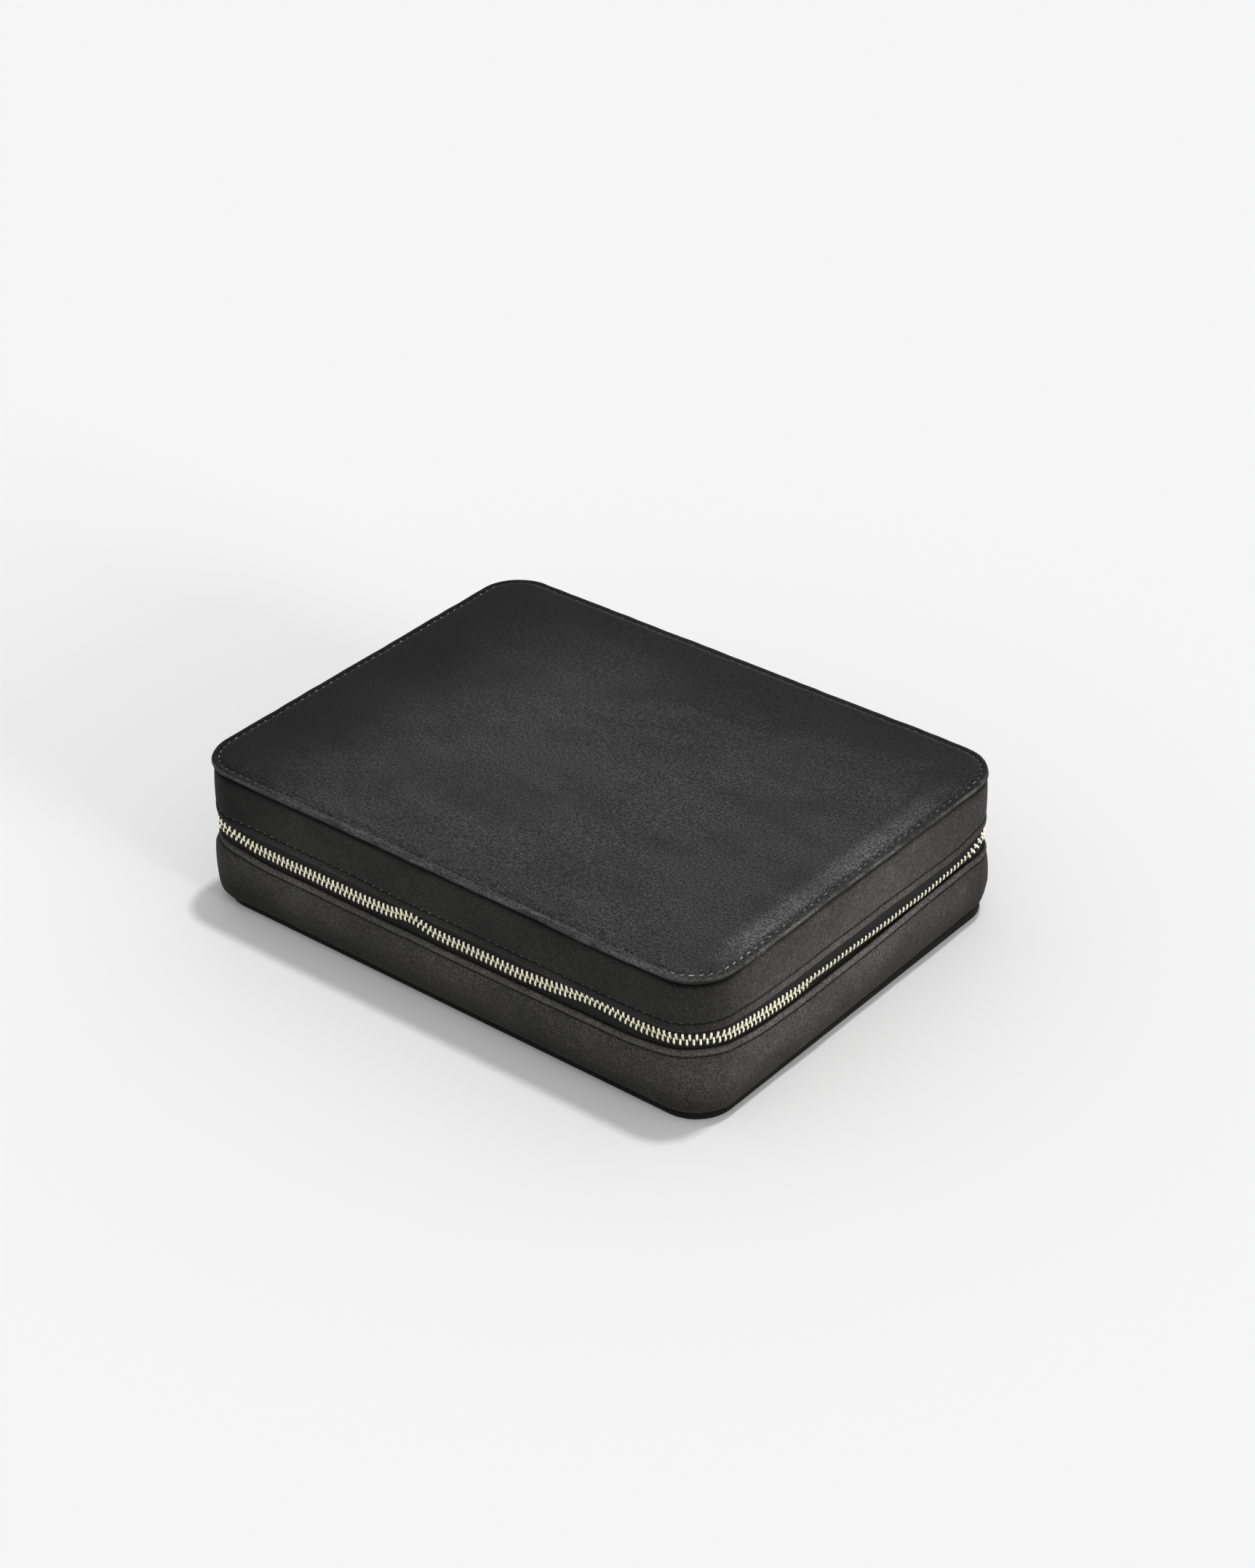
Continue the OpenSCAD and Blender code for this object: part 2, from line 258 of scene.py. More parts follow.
def sweep(name, profile, material, body, shift=None, s=None, closed=True, **more):
    """Sweeps a closed profile of (inset, z) points along the outline; shift(s, inset, z) moves them."""
    s = stations() if s is None else s
    rows = []
    xy, normal = outline(s, 0.0)
    for inset, z in profile:
        d_inset, d_z = shift(s, inset, z) if shift else (0.0, 0.0)
        spot = xy - normal * np.broadcast_to(inset + d_inset, len(s))[:, None]
        rows.append(np.column_stack([spot, np.broadcast_to(z + d_z, len(s))]))
    grid = np.stack(rows, 1)
    faces = grid_faces(len(s), len(profile), wrap_rows=closed, wrap_columns=True, caps=not closed)
    uvs = grid_uvs(faces, len(profile), s, girth(profile), EDGE_LENGTH)
    return new_object(name, grid.reshape(-1, 3), faces, material, body, uvs=uvs, **more)


# ---------------------------------------------------------------- materials
def rgba(color):
    """A colour as a node takes it; another node's output stays as it is."""
    return color if isinstance(color, bpy.types.NodeSocket) else (*color, 1.0)


def grey(value, warm=0.0):
    """A grey, tinted towards red if warm is above 0 and towards blue if below."""
    return (value * (1 + warm), value, value * (1 - warm))


def shaded(color, factor):
    return tuple(c * factor for c in color)


class Shader:
    """A node tree with short calls for the nodes that the materials share."""

    def __init__(self, name):
        self.material = bpy.data.materials.new(name)
        self.material.use_nodes = True
        self.tree = self.material.node_tree
        self.place = self.node("ShaderNodeTexCoord").outputs["Object"]

    def feed(self, node, inputs):
        """Links outputs into a node's inputs, and sets plain values."""
        for key, value in inputs.items():
            if isinstance(value, bpy.types.NodeSocket):
                self.tree.links.new(value, node.inputs[key])
            else:
                node.inputs[key].default_value = value

    def node(self, kind, inputs=None, **settings):
        made = self.tree.nodes.new(kind)
        for key, value in settings.items():
            setattr(made, key, value)
        self.feed(made, inputs or {})
        return made

    def axes(self):
        """The place on the object: x, y and z."""
        return self.node("ShaderNodeSeparateXYZ", {0: self.place}).outputs[:3]

    def cloth(self):
        """The place on the cloth: u along the loop and v across the strip."""
        uv = self.node("ShaderNodeUVMap", uv_map=CLOTH_UV).outputs[0]
        return self.node("ShaderNodeSeparateXYZ", {0: uv}).outputs[:2]

    def noise(self, size, detail=2.0, rough=0.5, distortion=0.0, vector=None):
        """Noise whose features measure about size metres."""
        return self.node(
            "ShaderNodeTexNoise",
            {"Vector": vector or self.place, "Scale": 1 / size, "Detail": detail,
             "Roughness": rough, "Distortion": distortion},
        ).outputs["Fac"]

    def streaks(self, sizes, rough=0.55, distortion=0.5):
        """Noise whose features measure about these sizes in metres along x, y and z."""
        stretched = {"Vector": self.place, "Scale": [1 / size for size in sizes]}
        return self.noise(1.0, 3.0, rough, distortion, self.node("ShaderNodeMapping", stretched).outputs[0])

    def span(self, value, low, high, out_low=0.0, out_high=1.0, smooth=True):
        """out_low where value is low, out_high where it is high, and a ramp between."""
        return self.node(
            "ShaderNodeMapRange",
            {"Value": value, "From Min": low, "From Max": high, "To Min": out_low, "To Max": out_high},
            interpolation_type="SMOOTHSTEP" if smooth else "LINEAR",
        ).outputs[0]

    def math(self, operation, a, b=0.0, c=0.0):
        return self.node("ShaderNodeMath", {0: a, 1: b, 2: c}, operation=operation).outputs[0]

    def times(self, value, *factors):
        for factor in factors:
            value = self.math("MULTIPLY", value, factor)
        return value

    def gain(self, value, amount):
        """A factor that is 1 where value is 0, and grows by amount times value."""
        return self.math("MULTIPLY_ADD", value, amount, 1.0)

    def wave(self, value, length):
        return self.math("SINE", self.times(value, 2 * math.pi / length))

    def mix(self, share, a, b):
        return self.node("ShaderNodeMix", {0: share, 6: rgba(a), 7: rgba(b)}, data_type="RGBA").outputs[2]

    def bump(self, height, distance, strength, under=None):
        inputs = {"Height": height, "Distance": distance, "Strength": strength}
        if under is not None:
            inputs["Normal"] = under
        return self.node("ShaderNodeBump", inputs).outputs[0]

    def finish(self, color, roughness, normal=None, **constants):
        """Sets the surface; constants are its other inputs, with _ for a space in their names."""
        inputs = {"Base Color": rgba(color), "Roughness": roughness}
        if normal is not None:
            inputs["Normal"] = normal
        inputs.update({key.replace("_", " "): value for key, value in constants.items()})
        self.feed(self.tree.nodes["Principled BSDF"], inputs)
        return self.material


def pile(sh, value, warm, grain, sheen, rough, under=None):
    """Finishes a short pile with grain and sparse painted glints over a brightness; rough is their
    strength.
    """
    fine = sh.noise(grain, 3.0, 0.75)
    coarse = sh.noise(grain * 2.2, 2.0, 0.6)
    for grains, share in ((fine, rough), (coarse, 0.9 * rough)):
        value = sh.times(value, sh.span(grains, 0.3, 0.7, 1 - share, 1 + share, smooth=False))
    # Painted glints: sparse bright specks on the pile.
    tip_glints = sh.span(sh.noise(grain * 1.1, 0.0), 0.7, 0.86, 0.0, 1.4 * rough)
    value = sh.times(value, sh.math("ADD", tip_glints, 1.0))
    tint = sh.node(
        "ShaderNodeVectorMath", {0: (1 + 0.2 * warm, 1.0, 1 - warm), "Scale": value}, operation="SCALE"
    )
    creases = sh.bump(sh.noise(6 * MM, 4.0, 0.6, 0.8), 0.2 * MM, 0.5, under)
    return sh.finish(
        tint.outputs[0], sh.span(coarse, 0.2, 0.8, 0.8, 0.98), sh.bump(fine, 0.14 * MM, 0.6, creases),
        Sheen_Weight=sheen, Sheen_Roughness=0.45, Sheen_Tint=rgba(grey(0.6, warm)), Specular_IOR_Level=0.15,
    )


def top_velvet():
    """The lid's top, with painted light: lighter in the middle, front and right, a painted sheen highlight
    inside the right edge, and a lit front rim.
    """
    sh = Shader("top_velvet")
    x, y, _ = sh.axes()
    wander = sh.times(sh.math("SUBTRACT", sh.noise(0.075, 2.0, 0.5, 0.3), 0.5), 55 * MM)
    patch_x, patch_y = sh.math("ADD", x, wander), sh.math("ADD", y, wander)
    strokes = sh.streaks((0.055, 0.02, 0.03))
    # Painted light: lighter towards the middle, front and right, darker towards the left and back, broken
    # by the pile's strokes and mottle.
    lit = sh.times(
        sh.span(patch_x, -HALF_X + 10 * MM, -HALF_X + 88 * MM),
        sh.span(patch_y, HALF_Y + 2 * MM, HALF_Y - 86 * MM, 0.16, 1.0),
        sh.span(strokes, 0.3, 0.7, 0.74, 1.16),
        sh.span(sh.noise(12 * MM, 3.0, 0.6, 0.4), 0.3, 0.7, 0.88, 1.1),
    )
    # Painted sheen highlight inside the right edge, where the padded top turns down towards the right
    # light.
    painted_sheen = sh.times(
        sh.span(x, HALF_X - 15 * MM, HALF_X - 8 * MM),
        sh.span(x, HALF_X - 3.2 * MM, HALF_X - 5 * MM),
        sh.span(patch_y, -HALF_Y + 18 * MM, -HALF_Y + 42 * MM),
        sh.span(patch_y, 84 * MM, 38 * MM),
        sh.span(strokes, 0.3, 0.6, 0.8, 1.1),
    )
    # Painted light on the front rim outside the stitches, in streaks.
    front_rim_light = sh.times(
        sh.span(y, -HALF_Y + 5 * MM, -HALF_Y + 2 * MM),
        sh.span(sh.streaks((0.03, 0.0012, 0.03), 0.6, 0.3), 0.4, 0.65, 0.0, 0.9),
    )
    value = sh.span(lit, 0.0, 1.0, 0.006, 0.037, smooth=False)
    value = sh.times(value, sh.gain(painted_sheen, 1.1), sh.math("ADD", front_rim_light, 1.0))
    return pile(sh, value, warm=-0.012, grain=0.44 * MM, sheen=0.1, rough=0.85)


def ribbed(sh, u, pitch, slant=0.0, v=None):
    """Fine ribs across the cloth's long way, wavering a little; slant leans them along v."""
    phase = sh.math("ADD", u, sh.times(sh.noise(4 * MM, 2.0), 1.2 * pitch))
    if v is not None:
        phase = sh.math("MULTIPLY_ADD", v, slant, phase)
    return sh.wave(phase, pitch)


def side_velvet(name, front, right, warm=0.0, foot=1.0, left=1.0, seam=None, fold=None, hem_gain=0.0):
    """A side band's pile. front and right are its brightness on those sides, painted light that makes the
    right side lighter; foot and left are the shares of it at the bottom and at the far left, painted shade
    there. seam and fold are the places of its stitches and folded edge across the cloth, and the hem's gain
    is how much lighter the cloth between them is, a painted highlight on the puffed hem."""
    sh = Shader(name)
    x, y, z = sh.axes()
    u, v = sh.cloth()
    ribs = ribbed(sh, u, 0.62 * MM)
    value = sh.times(
        sh.span(sh.streaks((0.03, 0.03, 0.02)), 0.3, 0.7, 0.8, 1.2),
        sh.span(sh.noise(5 * MM, 3.0, 0.6, 0.5), 0.3, 0.7, 0.93, 1.07),
        # Painted light: the right side lit brighter than the front.
        sh.span(y, -HALF_Y + 6 * MM, -HALF_Y + 40 * MM, front, right),
        # Painted shade towards the foot, by the floor.
        sh.span(z, 0.0, 26 * MM, foot, 1.0),
        # Painted shadow under the lid panel's lip.
        sh.span(z, LIP - 1.2 * MM, LIP - 2.7 * MM, 0.06, 1.0),
        # Painted shade towards the far left.
        sh.span(x, -HALF_X + 4 * MM, -HALF_X + 60 * MM, left, 1.0),
        sh.span(y, HALF_Y - 4 * MM, HALF_Y - 60 * MM, 0.48, 1.0),
        sh.gain(ribs, 0.13),
    )
    if seam is not None:
        from_seam = sh.math("SUBTRACT", v, seam)
        # Painted shade in the stitch crease, deepest at each stitch.
        gap = sh.math("COSINE", sh.times(u, 2 * math.pi * STITCHES / EDGE_LENGTH))
        pinch_shade = sh.span(gap, -1.0, 1.0, 0.06, 0.42)
        crease = sh.span(sh.math("ABSOLUTE", from_seam), 0.25 * MM, 0.8 * MM, pinch_shade, 1.0)
        into_hem = sh.times(from_seam, 1 if fold > seam else -1)
        width = abs(fold - seam)
        # Painted highlight on the puffed hem between the stitches and the fold.
        hem = sh.times(
            sh.span(into_hem, 0.5 * MM, 1.3 * MM, 0.0, hem_gain),
            sh.span(into_hem, width + 0.6 * MM, width - 0.6 * MM),
        )
        value = sh.times(value, crease, sh.math("ADD", hem, 1.0))
    under = sh.bump(ribs, 0.07 * MM, 0.6)
    return pile(sh, value, warm, grain=0.4 * MM, sheen=0.08, rough=0.65, under=under)


def edge_velvet():
    """The lid panel's cut edge: slanted whipped threads, lighter than the top, with painted light towards
    the right and painted shade on its underside.
    """
    sh = Shader("edge_velvet")
    u, v = sh.cloth()
    ribs = ribbed(sh, u, 0.95 * MM, 0.8, v)
    value = sh.times(
        sh.span(sh.noise(14 * MM, 4.0, 0.65, 0.4), 0.3, 0.7, 0.4, 1.6),
        # Painted light: lighter towards the right.
        sh.span(sh.axes()[0], -HALF_X, HALF_X, 0.75, 1.2, smooth=False),
        # Painted shade on the edge's underside.
        sh.times(sh.span(v, 3.3 * MM, 4.4 * MM, 0.1, 1.0), 0.06),
        sh.gain(ribs, 0.5),
    )
    under = sh.bump(ribs, 0.2 * MM, 0.8)
    return pile(sh, value, warm=0.01, grain=0.45 * MM, sheen=0.1, rough=0.6, under=under)


def lining_velvet():
    """Grey-beige lining with brushed patches."""
    sh = Shader("lining_velvet")
    brushed = sh.span(sh.noise(30 * MM, 2.5, 0.55, 0.6), 0.35, 0.65, 0.75, 1.15)
    mottle = sh.span(sh.noise(6 * MM, 3.0, 0.6, 0.4), 0.3, 0.7, 0.86, 1.12)
    value = sh.times(brushed, mottle, 0.24)
    return pile(sh, value, warm=0.07, grain=0.4 * MM, sheen=0.4, rough=0.35)


def metal(name, color, rough):
    """Satin plated metal with fine scratches and slightly dulled patches."""
    sh = Shader(name)
    worn = sh.noise(3 * MM, 3.0, 0.6)
    scratches = sh.noise(0.25 * MM, 2.0, 0.6)
    tint = sh.mix(sh.span(worn, 0.35, 0.7), color, shaded(color, 0.93))
    roughness = sh.math("MULTIPLY_ADD", scratches, 0.16, sh.span(worn, 0.3, 0.7, rough, rough + 0.12))
    return sh.finish(tint, roughness, sh.bump(scratches, 0.02 * MM, 0.3), Metallic=1.0)


def woven(name, color):
    """Zip tape: a tight twill with slightly glossy yarns and painted highlights on their crests."""
    sh = Shader(name)
    u, v = sh.cloth()
    pitch = 0.55 * MM
    yarn = ribbed(sh, u, pitch, 1.0, v)
    height = sh.math("MULTIPLY_ADD", sh.wave(v, pitch * 0.8), 0.5, yarn)
    fuzz = sh.noise(0.3 * MM, 2.0, 0.7)
    # Random fuzz, and a painted highlight on the yarn crests.
    light = sh.math("MULTIPLY_ADD", height, 0.18, sh.times(fuzz, 0.9))
    tint = sh.mix(sh.span(light, 0.1, 0.8), color, shaded(color, 3))
    normal = sh.bump(height, 0.09 * MM, 0.8, sh.bump(fuzz, 0.1 * MM, 0.5))
    return sh.finish(tint, 0.7, normal, Specular_IOR_Level=0.25)


def board(name, color):
    """Grey board: pressed fibres, faint flecks and dents, and rims painted near-black beside the zip as
    painted shade in the zip's gap.
    """
    sh = Shader(name)
    fibres = sh.noise(1.6 * MM, 4.0, 0.7, 1.2)
    flecks = sh.span(sh.noise(0.8 * MM, 1.0), 0.68, 0.78)
    tint = sh.mix(fibres, shaded(color, 0.8), shaded(color, 1.15))
    tint = sh.mix(sh.times(flecks, 0.6), tint, shaded(color, 0.4))
    # Painted shade: the rims beside the zip turn near-black, so the gap behind the teeth reads as shade.
    from_zip = sh.math("ABSOLUTE", sh.math("SUBTRACT", sh.axes()[2], PARTING))
    tint = sh.mix(sh.span(from_zip, 7.4 * MM, 6.8 * MM), tint, grey(0.006))
    return sh.finish(tint, 0.9, sh.bump(fibres, 0.15 * MM, 0.6), Specular_IOR_Level=0.2)


def foam(name, color):
    """Open foam: small cells, with painted shade in their pores."""
    sh = Shader(name)
    voronoi = sh.node("ShaderNodeTexVoronoi", {"Vector": sh.place, "Scale": 1 / (0.9 * MM)})
    cells = voronoi.outputs["Distance"]
    # Painted shade in the pores between cells.
    tint = sh.mix(sh.span(cells, 0.1, 0.6), color, shaded(color, 0.55))
    return sh.finish(tint, 0.95, sh.bump(cells, 0.3 * MM, 0.8), Specular_IOR_Level=0.1)


def thread(name, color, lit=None):
    """Twisted sewing thread, with painted highlights in random patches; lit(sh, x, y) tells where painted
    light falls on it.
    """
    sh = Shader(name)
    x, y, z = sh.axes()
    along = sh.math("ADD", sh.math("ADD", x, y), z)
    # Painted highlights on the thread in random patches.
    share = sh.span(sh.noise(11 * MM, 3.0, 0.7), 0.38, 0.6)
    if lit:
        share = sh.times(share, lit(sh, x, y))
    tint = sh.mix(share, shaded(color, 0.18), shaded(color, 1.5))
    return sh.finish(tint, 0.6, sh.bump(sh.wave(along, 0.35 * MM), 0.05 * MM, 0.7), Sheen_Weight=0.2)


def lit_panel_thread(sh, x, y):
    """Bright on the left edge, at the near corner and along the right edge; elsewhere lost in the pile."""
    left = sh.span(x, -HALF_X + 10 * MM, -HALF_X + 5 * MM)
    right = sh.span(x, HALF_X - 24 * MM, HALF_X - 8 * MM)
    back = sh.span(y, HALF_Y - 4 * MM, HALF_Y - 12 * MM)
    near = sh.span(y, -HALF_Y + 40 * MM, -HALF_Y + 90 * MM, 1.0, 0.3)
    return sh.math("MAXIMUM", left, sh.times(right, sh.times(back, near)))


def lit_front_thread(sh, x, y):
    """Bright along the front, and fading towards the right."""
    front = sh.span(y, -HALF_Y + 12 * MM, -HALF_Y + 5 * MM)
    return sh.times(front, sh.span(x, 70 * MM, 0.0, 0.25, 1.0))


def mirror(name):
    """Silvered glass with a faint haze of dust."""
    sh = Shader(name)
    haze = sh.noise(20 * MM, 3.0, 0.6)
    tint = sh.mix(haze, grey(0.78), grey(0.86))
    return sh.finish(tint, sh.span(haze, 0.3, 0.7, 0.02, 0.06), Metallic=1.0)


TOP_VELVET = top_velvet()
# The spine's right side is set lighter than its front as painted light; the sole is near-black as painted
# shade under the base.
SPINE_VELVET = side_velvet("spine_velvet", 0.03, 0.04)
SOLE_VELVET = side_velvet("sole_velvet", 0.004, 0.003)
EDGE_VELVET = edge_velvet()
LINING_VELVET = lining_velvet()
# Black tape, set darker still as painted shade in the zip's gap.
TAPE_WEAVE = woven("tape_weave", grey(0.0035))
GOLD = metal("zip_gold", (1.0, 0.965, 0.76), 0.27)
GREY_BOARD = board("grey_board", (0.36, 0.31, 0.24))
FOAM = foam("cream_foam", (0.7, 0.66, 0.56))
# One thread in three brightnesses: light where painted light falls on the panel and lid band, dark on the
# base band as painted shade.
PANEL_THREAD = thread("panel_thread", grey(0.42), lit_panel_thread)
LID_THREAD = thread("lid_band_thread", grey(0.15, -0.02), lit_front_thread)
BASE_THREAD = thread("base_band_thread", grey(0.03))
MIRROR = mirror("silvered_glass")


# ---------------------------------------------------------------- the two halves' covers
def pulled(s):
    """1 in the middle of each stitch of a row and 0 between stitches."""
    return 0.5 + 0.5 * np.cos(2 * math.pi * (s / EDGE_LENGTH * STITCHES - 0.5))


def from_near(s, *bumps):
    """Bumps along the loop, each (millimetres from the near corner to the right, width, height)."""
    return sum(bump_at(s, NEAR + at * MM, width, height) for at, width, height in bumps)


def shown(s, first, last, fade_in=4):
    """1 between two places given in millimetres from the near corner, and 0 beyond them."""
    at = (s - NEAR) / MM
    return 1 / (1 + np.exp((first - at) / fade_in)) / (1 + np.exp((at - last) / 4))


def lip_wave(s):
    """The lid panel's edge lies slightly wavy, and is lifted at the near corner."""
    soft = ripple(s, 3, (7, 11, 17, 23), 0.25)
    soft = soft + ripple(s, 4, (61, 83, 97), 0.07)
    return soft + from_near(s, (-50, 20, -0.7), (0, 15, 0.9), (28, 9, -0.7))


def lip_drawn_in(s):
    """The panel's corner at the back right is rounder than the others, and its edge is a little uneven."""
    return bump_at(s, BACK_RIGHT, 15, 1.0) + ripple(s, 5, (31, 53, 71), 0.14)


def puff(distance, pinch=0.5):
    """Height of the padded top over its edge, by the distance from the edge."""
    beyond = distance - PANEL_STITCH
    groove = -(0.3 + 0.4 * pinch) * MM * np.exp(-((beyond / (0.55 * MM)) ** 2))
    ridge = 0.25 * MM * np.exp(-(((beyond - 3 * MM) / (1.7 * MM)) ** 2))
    rise = 1.6 * MM * (1 - np.exp(-np.maximum(beyond, 0) / (3.5 * MM)))
    return groove + ridge + rise


def soft_waves(x, y):
    """Low dents and swells of the padded top."""
    wide = noise.noise(Vector((x / 0.075, y / 0.06, 3.1)))
    small = noise.noise(Vector((x / 0.021, y / 0.017, 7.7)))
    return (0.45 * wide + 0.14 * small) * MM


def lid_cover():
    """The lid's padded top: a folded rim, a stitched margin, and a top that closes on its middle line."""
    s = stations(STITCH_PITCH / 4, 28)
    rim = [
        (3.3, 0.0), (1.2, 0.0), (0.45, 0.05), (0.12, 0.3), (0.0, 0.75), (0.02, 1.25), (0.18, 1.7),
        (0.5, 1.98), (0.95, 2.1),
    ]
    margin = np.concatenate([np.arange(1.4, 5.0, 0.3), np.arange(5.2, 9.0, 0.8)])
    wave, pinch = lip_wave(s), pulled(s)
    drawn = lip_drawn_in(s)[:, None]
    rows = []

    def ring(inset, height):
        xy, normal = outline(s, inset * MM, 0.0)
        rows.append(np.column_stack([xy - normal * drawn * math.exp(-inset / 7), height]))

    for inset, rise in rim:
        lifted = wave * min(1, rise / 0.3) * (1 - 0.5 * rise / rim[-1][1])
        ring(inset, LIP + rise * MM + lifted)
    for inset in margin:
        fade = math.exp(-max(inset - 4, 0) / 6)
        ring(inset, TOP + puff(inset * MM, pinch) + 0.5 * wave * fade)
    edge = rows[-1][:, :2]
    for t in np.linspace(0, 1, 44)[1:]:
        xy = edge * (1 - t) + middle_line(edge) * t
        distance = edge_distance(xy[:, 0], xy[:, 1])
        fade = np.exp(-np.maximum(distance / MM - 4, 0) / 6)
        rows.append(np.column_stack([xy, TOP + puff(distance) + 0.5 * wave * fade]))
    grid = np.stack(rows, 0)
    from_margin = edge_distance(grid[..., 0], grid[..., 1]) - margin[-1] * 0.5 * MM
    depth = np.clip(from_margin / (8 * MM), 0, 1)
    first_soft_row = len(rim) + 8
    for i in range(first_soft_row, len(grid)):
        for k in range(len(s)):
            grid[i, k, 2] += depth[i, k] * soft_waves(grid[i, k, 0], grid[i, k, 1])
    verts = grid.transpose(1, 0, 2).reshape(-1, 3)
    faces = grid_faces(len(s), len(grid), wrap_rows=True)
    across = girth(rim) * MM
    across = np.concatenate([across, across[-1] + 0.3 * MM * np.arange(1, len(grid) - len(rim) + 1)])
    piece = new_object(
        "lid_top_cover", verts, faces, TOP_VELVET, "lid", slot="cover_cloth", replaces=("lid_panel",),
        uvs=grid_uvs(faces, len(grid), s, across, EDGE_LENGTH),
    )
    piece.data.materials.append(EDGE_VELVET)
    for face in piece.data.polygons:
        centre = face.center
        near_edge = edge_distance(centre.x, centre.y) < 0.62 * MM + lip_cut(centre)
        if near_edge or centre.z < LIP + 1.4 * MM:
            face.material_index = 1
    close_bottom(piece)


def lip_cut(point):
    """How much further in the cut edge's velvet reaches at a point, where the corner is drawn in."""
    return 1.0 * MM if point.x > RUN_X and point.y > RUN_Y else 0.0


def close_bottom(piece):
    """Closes the one open loop of the lid's cover with a flat face in the edge's velvet."""
    with open_mesh(piece) as bm:
        made = bmesh.ops.triangle_fill(bm, edges=[e for e in bm.edges if e.is_boundary], use_beauty=True)
        for face in made["geom"]:
            if isinstance(face, bmesh.types.BMFace):
                face.material_index = 1
    piece.data.shade_smooth()


def lid_fold(s):
    """How the lid band's lower fold strays: it sags along the front and right and rises at the corners."""
    soft = ripple(s, 11, (9, 13, 19, 29), 0.18)
    sag = -0.9 * MM * shown(s, -165, 165)
    return soft + sag + from_near(s, (-259, 9, 2.0), (3, 21, 2.9), (150, 22, -0.9), (184, 14, 1.6))


def base_fold(s):
    """How the base band's upper fold strays: it bows up at the near corner and towards the right."""
    soft = ripple(s, 12, (9, 13, 19, 29), 0.18)
    left = from_near(s, (-261, 9, 2.4), (-247, 14, 2.6), (-45, 45, 0.8))
    return soft + left + from_near(s, (2, 24, 5.2), (168, 48, 2.4))


def lid_swell(s, lower=1.0):
    """How far the lid band stands out: more at the front left corner and less at the back right one."""
    corner = bump_at(s, FRONT_LEFT, 15, 0.8) * lower - bump_at(s, BACK_RIGHT, 15, 0.5)
    return ripple(s, 21, (6, 10, 15, 27), 0.18) + corner


FOOT_DRAWN_IN = 1.5 * MM
FOOT_RAISE = 0.3 * MM
SOLE_RAISE = 1.2 * MM


def tucked(s):
    """0 at the near corner to 1 at the right side's far end, where the base's foot is drawn in and up."""
    at = (s - NEAR) / MM
    return np.clip((at - 15) / 150, 0, 1) / (1 + np.exp((at - 205) / 6))


def base_ripple(s):
    """The base band's small unevenness."""
    return ripple(s, 34, (37, 49, 61), 0.08)


def seam_pinch(s, z, seam, depth):
    """How far the stitches of a side seam pull the cloth in."""
    return depth * (0.35 + 0.65 * pulled(s)) * math.exp(-(((z - seam) / (0.55 * MM)) ** 2))


def across_to(profile, height):
    """The distance along a profile's outer side to a height."""
    outer = [(z, g) for (inset, z), g in zip(profile, girth(profile)) if inset < BAND + 0.8 * MM]
    return min(outer, key=lambda point: abs(point[0] - height))[1]


def side_cover(name, body, node, profile, shift, seam, fold, **looks):
    """A side band, swept from its profile, in velvet that knows where its seam and fold are."""
    velvet = side_velvet(
        name + "_velvet", seam=across_to(profile, seam), fold=across_to(profile, fold), **looks
    )
    sweep(name + "_cover", profile, velvet, body, shift, s=stations(STITCH_PITCH / 6, 42),
          slot="cover_cloth", replaces=(node,))


def lid_band():
    profile = [
        *around(BAND, LIP, (2.1, -0.05), (1.6, -0.06), (1.5, -0.9), (0.85, -1.6), (0.22, -2.3),
                (0.02, -3.4), (-0.06, -5), (-0.14, -8), (-0.16, -12), (-0.1, -15.5)),
        *around(BAND, LID_STITCH_Z, (-0.04, 1.6), (0, 0.9), (0.08, 0.45), (0.16, 0.2), (0.2, 0),
                (0.14, -0.2), (0, -0.45), (-0.12, -0.95), (-0.2, -1.9), (-0.16, -2.8)),
        *around(BAND, UPPER_FOLD, (0, 0.7), (0.2, 0.28), (0.5, 0.06), (0.95, 0.06)),
        *around(TAPE, UPPER_FOLD, (-0.12, 0.35), (-0.1, 7.6), (0.55, 8.3)),
        *around(TAPE, LIP, (0.55, -0.3)),
    ]

    def shift(s, inset, z):
        if inset > TAPE - 0.4 * MM:
            return 0.0, lid_fold(s) * float(z < LIP - 2 * MM)
        lower = np.clip((LIP - z) / (18 * MM), 0, 1)
        return seam_pinch(s, z, LID_STITCH_Z, 0.26 * MM) - lid_swell(s, lower), lid_fold(s) * lower

    # Painted shade: this band's velvet is set darker than the base band's, below the lid's overhang.
    side_cover("lid_side", "lid", "lid_band", profile, shift, LID_STITCH_Z, UPPER_FOLD,
               front=0.018, right=0.051, warm=0.03, left=0.25, hem_gain=0.15)


